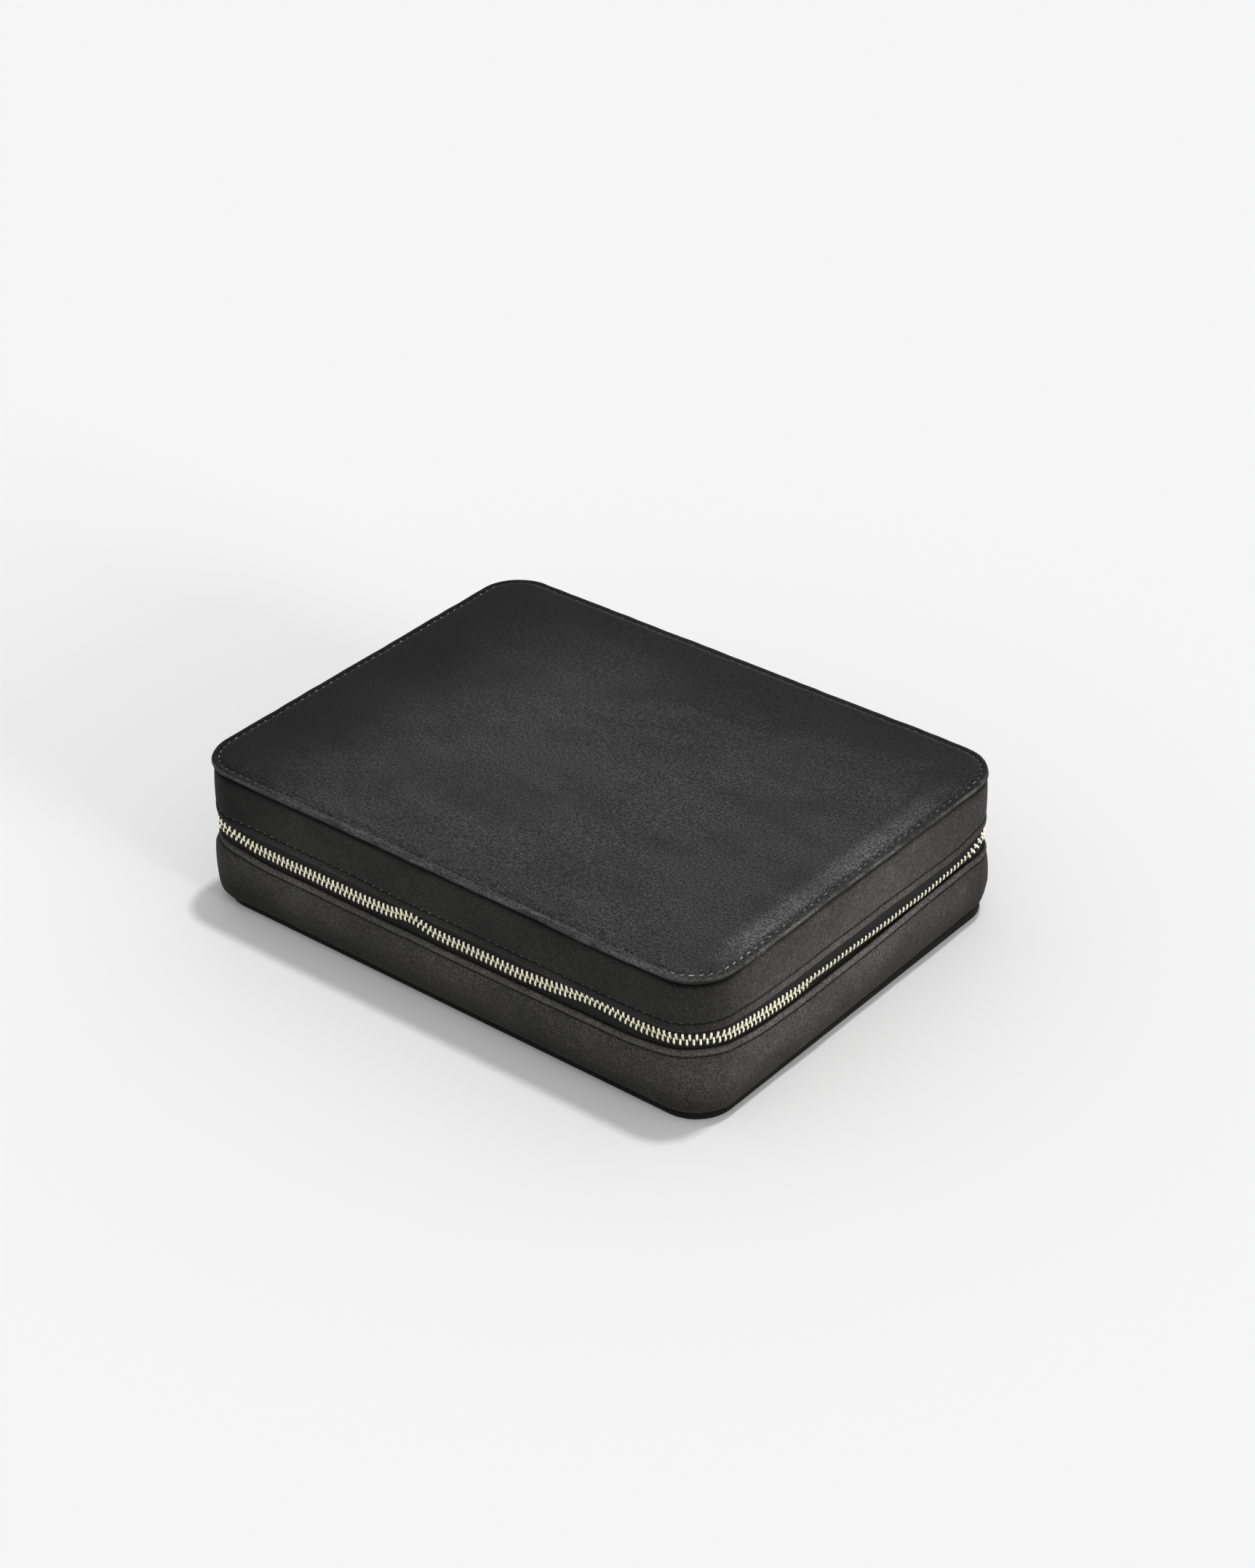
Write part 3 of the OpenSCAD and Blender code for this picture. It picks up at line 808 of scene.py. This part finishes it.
def base_band():
    profile = [
        *around(TAPE, LOWER_FOLD, (-0.12, -0.35)),
        *around(BAND, LOWER_FOLD, (1.0, -0.06), (0.6, -0.02), (0.22, -0.25), (-0.02, -0.7), (-0.14, -1.3)),
        *around(BAND, BASE_STITCH_Z, (-0.1, 0.95), (0.04, 0.45), (0.2, 0.2), (0.3, 0), (0.18, -0.22),
                (-0.02, -0.55), (-0.28, -1.4), (-0.6, -3.2), (-0.9, -6), (-1.05, -9), (-1.05, -12)),
        *around(BAND, 0, (-0.92, 10.5), (-0.75, 8), (-0.45, 6.1), (-0.05, 4.95), (0.5, 4.2), (1.1, 3.8),
                (2.1, 3.5)),
        *around(TAPE, BASE_TOP, (0.55, 1)),
        *around(TAPE, LOWER_FOLD, (0.55, -8.4), (-0.1, -7.6)),
    ]

    def shift(s, inset, z):
        upper = np.clip((z - BASE_TOP) / (18 * MM), 0, 1)
        outside = inset < TAPE - 0.4 * MM
        if not outside and z > 8 * MM:
            return 0.0, base_fold(s) * upper
        middle = math.exp(-(((z - 14 * MM) / (9 * MM)) ** 2))
        swell = ripple(s, 33, (5, 8, 13, 21), 0.34) * middle + base_ripple(s)
        corner = bump_at(s, FRONT_LEFT, 15, 1.9) * np.clip((LOWER_FOLD - z) / (6 * MM), 0.35, 1)
        foot = float(np.clip((13 * MM - z) / (9 * MM), 0, 1)) * tucked(s)
        pinch = seam_pinch(s, z, BASE_STITCH_Z, 0.24 * MM)
        d_inset = pinch - swell - corner * outside + FOOT_DRAWN_IN * foot
        return d_inset, base_fold(s) * upper + FOOT_RAISE * foot

    # Painted light: this band's velvet is set lighter than the lid band's, where its swell faces up.
    side_cover("base_side", "base", "base_band", profile, shift, BASE_STITCH_Z, LOWER_FOLD,
               front=0.046, right=0.056, warm=0.045, foot=0.26, left=0.55, hem_gain=0.55)


def base_panel():
    """The base panel: a covered board with a soft lower edge and a flat sole."""
    rim = [
        *around(BASE_PANEL, BASE_TOP, (1.9, 0), (0.25, 0), (0.02, -0.4), (0, -1.6)),
        *around(BASE_PANEL, 0, (0, 1.0), (0.12, 0.45), (0.4, 0.14), (0.9, 0), (3.0, 0)),
    ]
    s = stations()
    rows = []
    for inset, z in rim:
        xy, _ = outline(s, inset, 0.0)
        raised = SOLE_RAISE * tucked(s) * float(z > 1.5 * MM)
        rows.append(np.column_stack([xy, z + raised]))
    verts = np.stack(rows, 1).reshape(-1, 3)
    faces = grid_faces(len(s), len(rim), wrap_rows=True)
    fill_holes(new_object(
        "base_sole_cover", verts, faces, SOLE_VELVET, "base", slot="cover_cloth", replaces=("base_panel",),
        uvs=grid_uvs(faces, len(rim), s, girth(rim), EDGE_LENGTH),
    ))


# ---------------------------------------------------------------- stitches
def capsule(length, radius):
    """Points and faces of a thread that dips at both ends, along x, with its round side up (z)."""
    sides = 8
    xs = length / 2 * np.array([-1.0, -0.9, -0.55, 0.0, 0.55, 0.9, 1.0])
    sizes = radius * np.array([0.25, 0.75, 1.0, 1.05, 1.0, 0.75, 0.25])
    dips = -radius * np.array([1.3, 0.75, 0.15, 0.0, 0.15, 0.75, 1.3])
    turn = 2 * math.pi * np.arange(sides) / sides
    rings = [
        np.column_stack([np.full(sides, x), r * np.cos(turn), d + r * np.sin(turn)])
        for x, r, d in zip(xs, sizes, dips)
    ]
    return loft(rings)


def stitch_row(name, inset, height, body, material, up, length, radius, sunk, seed):
    """Stitches along the outline: inset(s) and height(s) place the seam, and up is True on the flat top.
    sunk tells how many radii the thread lies in the cloth."""
    points, faces = capsule(length, radius)
    rng = np.random.default_rng(seed)
    stitches = []
    for i in range(STITCHES):
        s = (i + 0.5) * EDGE_LENGTH / STITCHES + rng.normal(0, 0.12 * MM)
        xy, normal = outline([s], inset(s), 0.0)
        out = Vector((*normal[0], 0))
        along = Vector((-out.y, out.x, 0))
        face_up = Vector((0, 0, 1)) if up else out
        tilt = rng.normal(math.radians(5), math.radians(3))
        along = Matrix.Rotation(tilt, 3, face_up) @ along
        side = face_up.cross(along)
        depth = radius * (sunk + rng.uniform(-0.45, 0.45))
        spot = Vector((*xy[0], height(s))) - face_up * depth
        basis = np.array([along * rng.uniform(0.8, 1.15), side, face_up])
        stitches.append(points @ basis + np.array(spot))
    new_object(name, *merged(stitches, faces), material, body, slot="cover_cloth")


def all_stitches():
    def on_panel(s):
        return PANEL_STITCH + float(lip_drawn_in(s)) * 0.64

    def panel_height(s):
        return TOP + float(puff(PANEL_STITCH, 1.0) + 0.5 * lip_wave(s))

    def on_lid(s):
        return BAND + 0.46 * MM - float(lid_swell(s))

    def lid_height(s):
        return LID_STITCH_Z + float(lid_fold(s))

    def on_base(s):
        return BAND + 0.54 * MM - float(base_ripple(s) + bump_at(s, FRONT_LEFT, 15, 0.95))

    def base_height(s):
        return BASE_STITCH_Z + float(base_fold(s))

    side = {"up": False, "length": 1.9 * MM, "radius": 0.17 * MM}
    stitch_row("lid_panel_stitches", on_panel, panel_height, "lid", PANEL_THREAD,
               up=True, length=2.4 * MM, radius=0.23 * MM, sunk=-1.1, seed=5)
    stitch_row("lid_side_stitches", on_lid, lid_height, "lid", LID_THREAD, sunk=-0.3, seed=6, **side)
    stitch_row("base_side_stitches", on_base, base_height, "base", BASE_THREAD, sunk=-0.1, seed=7, **side)


# ---------------------------------------------------------------- the zip
TOOTH_PITCH = 2.5 * MM
CHAIN_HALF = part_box("zip_teeth_upper")[1].z - PARTING
CHAIN_INSET = (TAPE + BOARD) / 2
ROW_SETBACK = 0.9 * MM
UPPER_TOOTH_EXTRA = 0.35
NECK_SHARE = 0.3
CHAIN_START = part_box("zip_stops_lower")[1].x + 0.4 * MM
SLIDER_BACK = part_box("zip_slider")[1].y
NECK_LOW, NECK_HIGH = SLIDER_BACK - 3.6 * MM, SLIDER_BACK + 1.1 * MM


def chain_wave(s):
    """The closed chain snakes up and down along the front and right; s runs along the panel's edge."""
    soft = ripple(s, 8, (19, 31, 43), 0.16) * shown(s, -262, 175)
    sag = -0.8 * MM * shown(s, -232, 168)
    front = from_near(s, (-262, 8, 3.0), (-248, 12, 2.6), (-145, 8.5, 2.3), (-50, 20, 3.8))
    return soft + sag + front + from_near(s, (0, 24, 4.4), (70, 32, -1.4), (128, 42, -2.5), (181, 9, 3.6))


def corner_swell(s):
    """How far the chain stands out at the front left corner, where the bands swell too."""
    return bump_at(s, FRONT_LEFT, 12, 1.7)


def turned(s):
    """1 along the right side, where the chain is turned to face down, and 0 elsewhere."""
    return shown(s, 62, 168, fade_in=7)


def chain_lean(s):
    """How far the chain turns its face downwards, in radians."""
    wobble = np.sin(s / (17 * MM)) * shown(s, -230, 50)
    return math.radians(10) * turned(s) + math.radians(4) * wobble


def tooth_shape(extra):
    """One tooth, standing on its root at z = 0 with y through the tape; extra makes it that much longer.
    Each level is a height, half width and half depth, all in millimetres."""
    levels = [
        (0.0, 0.24, 0.5), (0.1, 0.4, 0.8), (0.35, 0.5, 1.0), (0.8, 0.53, 1.1), (1.7, 0.54, 1.14),
        (2.1, 0.53, 1.1), (2.3, 0.48, 0.8), (2.5, 0.45, 0.62), (2.95, 0.46, 0.6), (3.2, 0.37, 0.5),
        (3.33, 0.2, 0.3),
    ]
    sides = 14
    turn = 2 * math.pi * (np.arange(sides) + 0.5) / sides
    round_x, round_y = (np.sign(c) * np.abs(c) ** 0.5 for c in (np.cos(turn), np.sin(turn)))
    return loft([
        np.column_stack([w * round_x, d * round_y, np.full(sides, z + (extra if z > 1 else 0))]) * MM
        for z, w, d in levels
    ])


def at_edge(s):
    """The distance along the panel's edge beside a distance along the chain."""
    chain_ends, edge_ends = np.cumsum(segments(CHAIN_INSET)), np.cumsum(RUNS)
    return float(np.interp(s, [0, *chain_ends], [0, *edge_ends]))


def teeth_row(name, body, node, upper, start):
    """A row of teeth that starts start pitches along the chain; those at the slider's neck are short."""
    points, faces = tooth_shape(UPPER_TOOTH_EXTRA if upper else -UPPER_TOOTH_EXTRA)
    begin, end = CHAIN_START + start * TOOTH_PITCH, perimeter(CHAIN_INSET) - CHAIN_START
    rng = np.random.default_rng(17 if upper else 18)
    flip = -1 if upper else 1
    teeth = []
    for s in np.arange(begin, end - 0.75 * MM, TOOTH_PITCH):
        xy, normal = outline([s], CHAIN_INSET)
        x, y = xy[0]
        in_neck = x < -RUN_X and NECK_LOW < y < NECK_HIGH
        out = np.array([*normal[0], 0])
        along = np.array([-out[1], out[0], 0])
        edge_s = at_edge(s)
        lean = float(chain_lean(edge_s))
        outward = out * math.cos(lean) - np.array([0, 0, math.sin(lean)])
        upward = out * math.sin(lean) + np.array([0, 0, math.cos(lean)])
        slope = (chain_wave(edge_s + MM) - chain_wave(edge_s - MM)) / (2 * MM)
        along = along + upward * slope
        basis = np.array([along, outward, flip * (upward - slope * along)])
        set_back = 0.0 if upper else float(turned(edge_s))
        outer_face = (1.24 - 0.8 * set_back) * MM
        shape = points.copy()
        shape[:, 1] = np.minimum(shape[:, 1], outer_face)
        shape[:, 2] *= NECK_SHARE if in_neck else 1.0
        rise = chain_wave(edge_s) + rng.normal(0, 0.03 * MM)
        stand = float(corner_swell(edge_s)) - ROW_SETBACK * set_back
        spot = np.array([x, y, PARTING + rise]) - basis[2] * CHAIN_HALF + out * stand
        teeth.append(shape @ basis + spot + out * rng.normal(0, 0.03 * MM))
    new_object(name, *merged(teeth, faces), GOLD, body, slot="zip_metal", replaces=(node,))


def tape(name, body, node, upper):
    """Tape with a corded edge between the teeth, tucked behind the band at its other edge. Its profile
    holds insets, and heights from the parting, in millimetres."""
    flip = 1 if upper else -1
    fold = UPPER_FOLD if upper else LOWER_FOLD
    tuck = abs(fold - PARTING) / MM + 7
    out, back = TAPE / MM + 0.03, BOARD / MM - 0.03
    profile = [
        (out, tuck), (out, 5.4), (out, 4.6), (out + 0.03, 3.3), (out - 0.2, 2.6), (out - 0.48, 2.1),
        (out - 0.52, 1.4), (out - 0.3, 0.85), (out + 0.33, 0.65), (back + 0.1, 1.05), (back + 0.28, 1.4),
        (back + 0.28, 1.9), (back + 0.1, 2.4), (back, 3.3), (back, 5.4), (back, tuck),
    ]
    profile = [(inset * MM, PARTING + flip * z * MM) for inset, z in profile]
    first = SPINE_HALF + 0.2 * MM
    last = EDGE_LENGTH - first
    s = stations(1.8 * MM, 24)
    s = np.concatenate([[first], s[(s > first) & (s < last)], [last]])

    def shift(s, inset, z):
        near = math.exp(-((max(abs(z - PARTING) - 2.6 * MM, 0) / (3 * MM)) ** 2))
        set_back = 0.0 if upper else ROW_SETBACK * turned(s)
        lean_share = float(np.clip((4.1 * MM - abs(z - PARTING)) / (2 * MM), 0, 1))
        leaned = ((PARTING - z) * np.tan(chain_lean(s)) + set_back) * lean_share
        return leaned - corner_swell(s) * near, chain_wave(s) * near

    sweep(name, profile, TAPE_WEAVE, body, shift, s=s, closed=False, slot="zip_tape", replaces=(node,))


def spine():
    """The cloth hinge: one strip behind both bands that fills the gap between them, creased at the fold."""
    low, high = LOWER_FOLD - 5 * MM, UPPER_FOLD + 5 * MM
    gap_half, gap_depth = 5.2 * MM, 1.15 * MM
    crease_width, crease_depth = 0.8 * MM, 0.3 * MM
    heights = np.linspace(low, high, 34)
    front = []
    for z in heights:
        from_fold = abs(z - PARTING)
        gap = 1 / (1 + math.exp((from_fold - gap_half) / (0.35 * MM)))
        crease = crease_depth * math.exp(-((from_fold / crease_width) ** 2))
        front.append((TAPE + 0.05 * MM - gap * gap_depth + crease, z))
    back = [(BOARD - 0.04 * MM, z) for z in heights[::-1]]
    s = np.arange(-SPINE_HALF, SPINE_HALF + 1e-9, SPINE_HALF / 40)

    def shift(s, inset, z):
        outside = 1 if inset < BOARD - 0.1 * MM else 0
        return ripple(s, 44, (17, 29, 41), 0.12) * outside, 0.0

    piece = sweep("back_spine", front + back, SPINE_VELVET, None, shift, s=s, closed=False,
                  slot="cover_cloth", replaces=("spine_lower_leaf", "spine_upper_leaf"))
    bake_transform(piece)


# ---------------------------------------------------------------- the inside
def wall_lining(name, body, node, rim_up):
    """Velvet wall lining with a rim that stands up inside the zip. Its profile holds insets, and heights
    below the rim's edge, in millimetres."""
    low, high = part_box(node)
    flip = 1 if rim_up else -1
    foot, rim = (low.z, high.z) if rim_up else (high.z, low.z)
    tall = abs(rim - foot) / MM
    shoulder = flip * (rim - PARTING) / MM + 5.5
    wall = LINING / MM
    thin, inner = wall + 0.5, wall + 1.4
    profile = [
        (wall + 0.05, tall), (wall + 0.05, shoulder + 0.5), (thin, shoulder), (thin, 0.6),
        (thin + 0.12, 0.15), (thin + 0.42, 0.0), (inner - 0.15, 0.15), (inner, 0.6), (inner, 3.0),
        (inner - 0.06, tall / 2), (inner, tall - 0.2), (inner, tall),
    ]
    profile = [(inset * MM, rim - flip * below * MM) for inset, below in profile]
    sweep(name, profile, LINING_VELVET, body, slot="lining_velvet", replaces=(node,))


def lined_slab(name, body, node, face_up, walls):
    """A padded floor or ceiling: a rounded sheet that swells a little between the walls on it."""
    swell, overlap = 0.45 * MM, 0.05 * MM
    low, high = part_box(node)
    face_z, back_z = (high.z, low.z) if face_up else (low.z, high.z)
    sign = 1 if face_up else -1
    s = stations(4 * MM, 8)
    edge, _ = outline(s, HALF_X - high.x, 0.0)
    rows = []
    for t in np.concatenate([[0.0, 0.004, 0.012], np.linspace(0.03, 1, 40)]):
        xy = edge * (1 - t) + middle_line(edge) * t
        distance = edge_distance(xy[:, 0], xy[:, 1]) - LINING - 1.4 * MM
        for x0, y0, x1, y1 in walls:
            dx = np.maximum(np.maximum(x0 - xy[:, 0], xy[:, 0] - x1), 0)
            dy = np.maximum(np.maximum(y0 - xy[:, 1], xy[:, 1] - y1), 0)
            distance = np.minimum(distance, np.hypot(dx, dy))
        rise = swell * (1 - np.exp(-np.maximum(distance, 0) / (4 * MM)))
        rows.append(np.column_stack([xy, face_z + sign * (rise - overlap)]))
    under = rows[0].copy()
    under[:, 2] = back_z
    grid = np.stack([under, *rows], 0)
    faces = grid_faces(len(grid), len(s), wrap_columns=True)
    fill_holes(lining(name, grid.reshape(-1, 3), faces, body, node))


def solids_of(node):
    """Boxes (x0, y0, z0, x1, y1, z1) of a CAD node's separate solids, from left to right."""
    bm = bmesh.new()
    bm.from_mesh(frame["nodes"][node].data)
    bmesh.ops.remove_doubles(bm, verts=bm.verts, dist=1e-6)
    waiting, boxes = set(bm.verts), []
    while waiting:
        group = reached = {waiting.pop()}
        while reached:
            reached = {edge.other_vert(vert) for vert in reached for edge in vert.link_edges} - group
            group = group | reached
        waiting -= group
        points = np.array([vert.co for vert in group])
        boxes.append((*points.min(0), *points.max(0)))
    bm.free()
    return sorted(boxes)


def lining(name, points, faces, body, *nodes):
    """A piece in the lining's velvet that stands for these CAD nodes."""
    return new_object(name, points, faces, LINING_VELVET, body, slot="lining_velvet", replaces=nodes)


def padded_board(name, box, *nodes):
    """A lined board that stands on edge in the base: soft rounded top, faces that swell slightly."""
    x0, y0, z0, x1, y1, z1 = box
    top_round = 1.1 * MM
    along_x = (x1 - x0) > (y1 - y0)
    length, thick = (x1 - x0, y1 - y0) if along_x else (y1 - y0, x1 - x0)
    steps = max(4, int(length / (4 * MM)))
    t = thick / 2
    section = [(-t, 0)]
    section += [(-t + 0.02 * MM, z) for z in np.linspace(0.15, 0.85, 6) * (z1 - z0)]
    for a in np.linspace(math.pi, 0, 9):
        section.append((math.cos(a) * t, z1 - z0 - top_round + math.sin(a) * top_round))
    section += [(t - 0.02 * MM, z) for z in np.linspace(0.85, 0.15, 6) * (z1 - z0)]
    section.append((t, 0))
    rng = np.random.default_rng(len(name))
    wobble = rng.normal(0, 0.06 * MM, steps + 1)
    wobble[0] = wobble[-1] = 0
    rings = []
    for i in range(steps + 1):
        far = i / steps * length
        ring = []
        for across, z in section:
            top = z / (z1 - z0)
            c = across + wobble[i] * top
            h = z0 + z + (wobble[i] * 0.5 if top > 0.9 else 0)
            ring.append((x0 + far, (y0 + y1) / 2 + c, h) if along_x else ((x0 + x1) / 2 + c, y0 + far, h))
        rings.append(ring)
    lining(name, *loft(rings), "base", *nodes)


def ring_roll(index, box):
    """A foam roll in velvet: a flat-sided bar with a round top and soft ends. The first one, at the wall,
    follows the lining's corners, and stands for the CAD node of all the rolls."""
    x0, y0, z0, x1, y1, z1 = box
    section = [(-1.0, 0.0), (-1.0, 0.3), (-1.0, 0.55)]
    section += [(math.cos(a), 0.55 + 0.45 * math.sin(a)) for a in np.linspace(math.pi, 0, 15)[1:-1]]
    section += [(1.0, 0.55), (1.0, 0.3), (1.0, 0.0)]
    ys = np.concatenate([
        y0 + np.array([0, 0.25, 0.8, 1.6, 3.0, 5.0]) * MM,
        np.arange(y0 + 9 * MM, y1 - 8 * MM, 5 * MM),
        y1 - np.array([5.0, 3.0, 1.6, 0.8, 0.25, 0]) * MM,
    ])
    rng = np.random.default_rng(60 + index)
    rings = []
    for y in ys:
        end = min(y - y0, y1 - y)
        size = 1 - 0.3 * math.exp(-end / (0.9 * MM))
        left = x0 if index else max(x0, -HALF_X + max(LINING + 1.7 * MM, corner_inset(y)))
        wobble = rng.normal(0, 0.05 * MM)
        middle, half = (left + x1) / 2 + wobble, (x1 - left) / 2 * (1 - 0.12 * (1 - size))
        tall = (z1 - z0) * size
        rings.append([(middle + across * half, y, z0 + z * tall) for across, z in section])
    nodes = [] if index else ["ring_rolls"]
    lining(f"ring_roll_{index + 1}", *loft(rings), "base", *nodes)


def corner_inset(y):
    """How far in from the panel's left edge the lining's face stands at depth y."""
    over = abs(y) - RUN_Y
    r = CORNER_R - LINING - 1.7 * MM
    if over <= 0:
        return LINING + 1.7 * MM
    return CORNER_R - math.sqrt(max(r * r - over * over, 0))


def mirror_frame():
    """A padded velvet frame round the mirror."""
    low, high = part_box("mirror_frame")
    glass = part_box("mirror_glass")[1]
    width = high.x - glass.x
    section = [(0.0, 0.0), (0.03, 0.55), (0.18, 0.9), (0.5, 1.08), (0.82, 0.9), (0.97, 0.55), (1.0, 0.0)]
    corners = [(1, 1), (-1, 1), (-1, -1), (1, -1)]
    rows = []
    for k, (sx, sy) in enumerate(corners):
        nx, ny = corners[(k + 1) % 4]
        for t in np.linspace(0, 1, 26)[:-1]:
            ring = []
            for share, rise in section:
                hx, hy = glass.x + share * width, glass.y + share * width
                a, b = np.array([sx * hx, sy * hy]), np.array([nx * hx, ny * hy])
                xy = a + (b - a) * t
                ring.append((*xy, high.z + (low.z - high.z) * rise))
            rows.append(ring)
    faces = grid_faces(len(rows), len(section), wrap_rows=True, wrap_columns=True)
    lining("mirror_surround", np.concatenate(rows), faces, "lid", "mirror_frame")


def inside():
    wall_lining("base_wall_velvet", "base", "base_wall_lining", rim_up=True)
    wall_lining("lid_wall_velvet", "lid", "lid_wall_lining", rim_up=False)
    dividers = solids_of("cross_dividers")
    bay, long_one = solids_of("ring_bay_wall")[0], solids_of("long_divider")[0]
    walls = [(b[0], b[1], b[3], b[4]) for b in [*dividers, bay, long_one]]
    lined_slab("base_floor_velvet", "base", "base_floor_lining", face_up=True, walls=walls)
    frame_low, frame_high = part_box("mirror_frame")
    surround = [(frame_low.x, frame_low.y, frame_high.x, frame_high.y)]
    lined_slab("lid_ceiling_velvet", "lid", "lid_ceiling_lining", face_up=False, walls=surround)
    padded_board("ring_bay_partition", bay, "ring_bay_wall")
    padded_board("long_partition", long_one, "long_divider")
    for i, box in enumerate(dividers):
        padded_board(f"cross_partition_{i + 1}", box, *([] if i else ["cross_dividers"]))
    for i, box in enumerate(solids_of("ring_rolls")):
        ring_roll(i, box)
    mirror_frame()


# ---------------------------------------------------------------- CAD nodes that stay
def dress(node, material, bevel=0.0):
    """Gives a CAD node its material, and softens its edges if asked."""
    piece = frame["nodes"][node]
    piece.data.materials.clear()
    piece.data.materials.append(material)
    if bevel:
        rounding = piece.modifiers.new("soft_edges", "BEVEL")
        rounding.width = bevel
        rounding.segments = 3
        rounding.limit_method = "ANGLE"
        rounding.angle_limit = math.radians(35)


def carried_over():
    for node in ("base_floor_board", "base_wall_board", "lid_board", "lid_wall_board"):
        dress(node, GREY_BOARD)
    dress("lid_padding", FOAM)
    dress("mirror_glass", MIRROR, 0.3 * MM)
    for node in ("zip_stops_lower", "zip_stops_upper"):
        dress(node, GOLD, 0.25 * MM)
    dress("zip_slider", GOLD, 0.18 * MM)
    dress("zip_pull", GOLD, 0.22 * MM)


# ---------------------------------------------------------------- stage, lights and camera
def floor():
    mesh = bpy.data.meshes.new("floor")
    reach = 40.0
    corners = [(-reach, -reach, 0), (reach, -reach, 0), (reach, reach, 0), (-reach, reach, 0)]
    mesh.from_pydata(corners, [], [(0, 1, 2, 3)])
    plane = bpy.data.objects.new("floor", mesh)
    bpy.context.scene.collection.objects.link(plane)
    sh = Shader("pale_floor")
    mesh.materials.append(sh.finish(grey(0.9), 0.9, Specular_IOR_Level=0.1))


def sun(name, towards, spread, strength, color=(1, 1, 1)):
    """A wide soft light from far away; towards points at it."""
    light = bpy.data.lights.new(name, "SUN")
    light.angle = math.radians(spread)
    light.energy = strength
    light.color = color
    lamp = bpy.data.objects.new(name, light)
    bpy.context.scene.collection.objects.link(lamp)
    lamp.rotation_mode = "QUATERNION"
    lamp.rotation_quaternion = Vector(towards).to_track_quat("Z", "Y")


def lights():
    world = bpy.data.worlds.new("studio")
    bpy.context.scene.world = world
    world.use_nodes = True
    background = world.node_tree.nodes["Background"]
    background.inputs["Color"].default_value = (0.99, 0.982, 1, 1)
    background.inputs["Strength"].default_value = 0.58
    sun("overhead_light", towards=(0.06, 0.25, 1), spread=5, strength=1.15)
    sun("right_light", towards=(0.97, -0.05, 0.21), spread=20, strength=1.5, color=(1, 0.98, 0.93))


def camera():
    azimuth, elevation, roll = (math.radians(a) for a in (40.481, 32.457, -1.687))
    distance, aside, above = 1.3875, 0.01155, 0.04621
    right = Vector((math.cos(azimuth), math.sin(azimuth), 0))
    level = Vector((math.sin(azimuth), -math.cos(azimuth), 0))
    back = level * math.cos(elevation) + Vector((0, 0, math.sin(elevation)))
    up = back.cross(right)
    rolled_right = right * math.cos(roll) + up * math.sin(roll)
    rolled_up = up * math.cos(roll) - right * math.sin(roll)
    data = bpy.data.cameras.new("photo_view")
    data.sensor_width = 36
    data.lens = 77.21
    cam = bpy.data.objects.new("photo_view", data)
    bpy.context.scene.collection.objects.link(cam)
    place = back * distance + right * aside + up * above
    turn = Matrix((rolled_right, rolled_up, back)).transposed()
    cam.matrix_world = Matrix.Translation(place) @ turn.to_4x4()
    bpy.context.scene.camera = cam
    bpy.context.scene.view_settings.view_transform = "Standard"


# ---------------------------------------------------------------- assembly
camera()
lights()
floor()
lid_cover()
lid_band()
base_band()
base_panel()
tape("zip_tape_upper_weave", "lid", "zip_tape_upper", upper=True)
tape("zip_tape_lower_weave", "base", "zip_tape_lower", upper=False)
teeth_row("zip_upper_teeth", "lid", "zip_teeth_upper", upper=True, start=0.9)
teeth_row("zip_lower_teeth", "base", "zip_teeth_lower", upper=False, start=0.4)
spine()
all_stitches()
inside()
carried_over()
